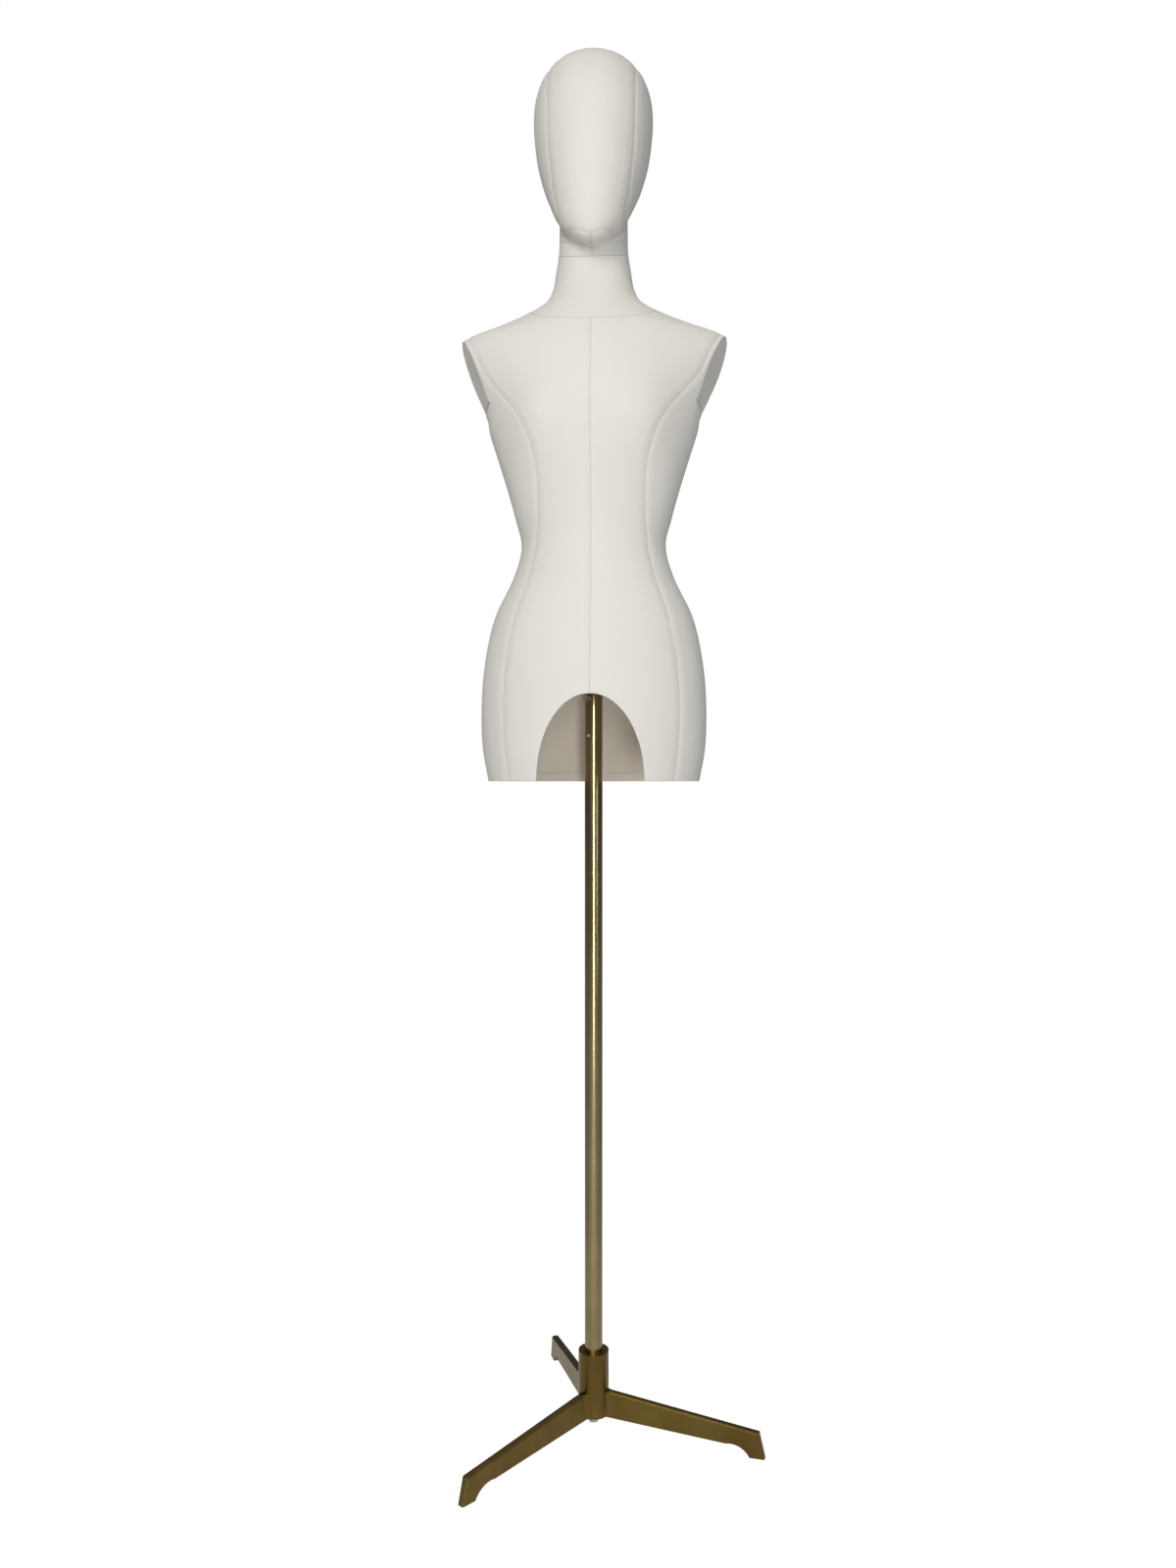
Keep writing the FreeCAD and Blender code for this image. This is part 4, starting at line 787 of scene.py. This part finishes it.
def head_part(name, *cuts):
    """The head's skin above the joint, cut by planes with their bendings."""
    part = copy_of(head_skin, name)
    keep_side(part, JOINT_POINT + JOINT_NORMAL * JOINT_GAP, JOINT_NORMAL)
    for point, normal, bending in cuts:
        gap = 0 if normal in (FORWARD, BACKWARD) else SEAM_GAP
        keep_side(part, point + normal * gap, normal, **bending)
    return part


def join_parts(name, parts):
    """Sews parts together into one piece of the head's cover."""
    bpy.ops.object.select_all(action="DESELECT")
    for part in parts:
        part.select_set(True)
    bpy.context.view_layer.objects.active = parts[0]
    bpy.ops.object.join()
    joined = bpy.context.object
    joined.name = name
    sew(joined)
    return joined


ORIGIN = Vector((0, 0, 0))
left_face, right_face = (along_seam(FACE_SEAM, CHIN, side) for side in (-1, 1))
left_nape, right_nape = (along_seam(NAPE_SEAM, CHIN, side) for side in (-1, 1))
LEFT, RIGHT = Vector((-1, 0, 0)), Vector((1, 0, 0))
centre_strip = join_parts("head_cover_centre_cloth", [
    head_part("face", (ORIGIN, FORWARD, {}), (ORIGIN, LEFT, right_face),
              (ORIGIN, RIGHT, left_face), (CHIN_FOLD_POINT, CHIN_FOLD, {})),
    head_part("nape", (ORIGIN, BACKWARD, {}), (ORIGIN, LEFT, right_nape),
              (ORIGIN, RIGHT, left_nape))])
head_cloths = [centre_strip]
for outward, inward, face, nape, word in ((LEFT, RIGHT, left_face, left_nape, "left"),
                                          (RIGHT, LEFT, right_face, right_nape, "right")):
    head_cloths.append(join_parts("head_cover_%s_cloth" % word, [
        head_part("cheek", (ORIGIN, FORWARD, {}), (ORIGIN, outward, {}),
                  (ORIGIN, outward, face)),
        head_part("throat", (ORIGIN, FORWARD, {}), (ORIGIN, outward, {}),
                  (ORIGIN, inward, face), (CHIN_FOLD_POINT, -CHIN_FOLD, {})),
        head_part("behind_ear", (ORIGIN, BACKWARD, {}), (ORIGIN, outward, {}),
                  (ORIGIN, outward, nape))]))
for piece in head_cloths:
    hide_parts(piece.name.replace("_cloth", ""))
    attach(piece, "head")

for helper in (torso_skin, head_skin):
    bpy.data.objects.remove(helper)

# ------------------------------------------------------------------ floor and light
# A pale floor that glows, before a white backdrop, in a room that is otherwise dim. A large
# soft key stands in front and above on the left, a narrow one on the right.
bpy.ops.object.select_all(action="DESELECT")
bpy.ops.mesh.primitive_plane_add(size=40, location=(0, 0, 0))
floor = bpy.context.object
floor.name = "floor"
ROOM_LIGHT, CEILING_LIGHT = 0.06, 0.55
floor_paint_and_glow, tree, shader = new_material("floor_paint_and_glow")
shader.inputs["Roughness"].default_value = 0.9
shader.inputs["Specular IOR Level"].default_value = 0.1
shader.inputs["Base Color"].default_value = (0.45, 0.45, 0.45, 1)
shader.inputs["Emission Color"].default_value = (1, 1, 1, 1)
place = add_node(tree, "ShaderNodeSeparateXYZ", Vector=object_place(tree, (1, 1, 1)))
# The floor glows. Rays other than the camera's see a painted bounce glow that lights the form from
# below. It is 0.34 near the middle and fades to 0.04 at 0.9 m to either side.
aside = tree.nodes.new("ShaderNodeMath")
aside.operation = "ABSOLUTE"
tree.links.new(place.outputs["X"], aside.inputs[0])
painted_bounce_glow = add_node(tree, "ShaderNodeMapRange", Value=aside.outputs[0], From_Min=0.1,
                   From_Max=0.9, To_Min=0.34, To_Max=0.04)
# The camera sees an even glow of 0.86 on top of the floor's lit colour, and other rays see the
# painted bounce glow.
glow = add_node(tree, "ShaderNodeMapRange", To_Min=painted_bounce_glow.outputs["Result"], To_Max=0.86)
tree.links.new(tree.nodes.new("ShaderNodeLightPath").outputs["Is Camera Ray"],
               glow.inputs["Value"])
tree.links.new(glow.outputs["Result"], shader.inputs["Emission Strength"])
floor.data.materials.append(floor_paint_and_glow)

world = bpy.data.worlds.new("studio")
bpy.context.scene.world = world
world.use_nodes = True
tree = world.node_tree
room = tree.nodes["Background"]
room.inputs["Color"].default_value = (1, 1, 1, 1)
direction = tree.nodes.new("ShaderNodeTexCoord")
height = add_node(tree, "ShaderNodeSeparateXYZ", Vector=direction.outputs["Generated"])
overhead = add_node(tree, "ShaderNodeMapRange", Value=height.outputs["Z"],
                    From_Min=0.35, From_Max=0.95, To_Min=ROOM_LIGHT, To_Max=CEILING_LIGHT)
tree.links.new(overhead.outputs["Result"], room.inputs["Strength"])
backdrop = add_node(tree, "ShaderNodeBackground")
backdrop.inputs["Color"].default_value = (1, 1, 1, 1)
seen = tree.nodes.new("ShaderNodeLightPath")
mixed = tree.nodes.new("ShaderNodeMixShader")
tree.links.new(seen.outputs["Is Camera Ray"], mixed.inputs["Fac"])
tree.links.new(room.outputs["Background"], mixed.inputs[1])
tree.links.new(backdrop.outputs["Background"], mixed.inputs[2])
tree.links.new(mixed.outputs["Shader"], tree.nodes["World Output"].inputs["Surface"])


def soft_box(name, place, target, width, height, power, colour=(1, 1, 1)):
    """A rectangular studio light turned to a target."""
    bpy.ops.object.select_all(action="DESELECT")
    bpy.ops.object.light_add(type="AREA", location=place)
    light = bpy.context.object
    light.name = name
    light.data.shape = "RECTANGLE"
    light.data.size, light.data.size_y = width, height
    light.data.energy = power
    light.data.color = colour
    aim = Vector(target) - Vector(place)
    light.rotation_euler = aim.to_track_quat("-Z", "Y").to_euler()


soft_box("key_light", (-0.9, -2.8, 2.5), (0, 0, 1.3), 1.3, 1.8, 54, (1.0, 0.975, 0.94))
soft_box("low_light", (0.35, -2.7, 0.8), (0, 0, 0.9), 0.25, 1.6, 20, (0.97, 0.985, 1.0))
soft_box("side_light", (1.9, -1.7, 1.5), (0, 0, 1.1), 0.2, 2.4, 8, (1.0, 0.98, 0.95))
bpy.context.scene.view_settings.view_transform = "Standard"
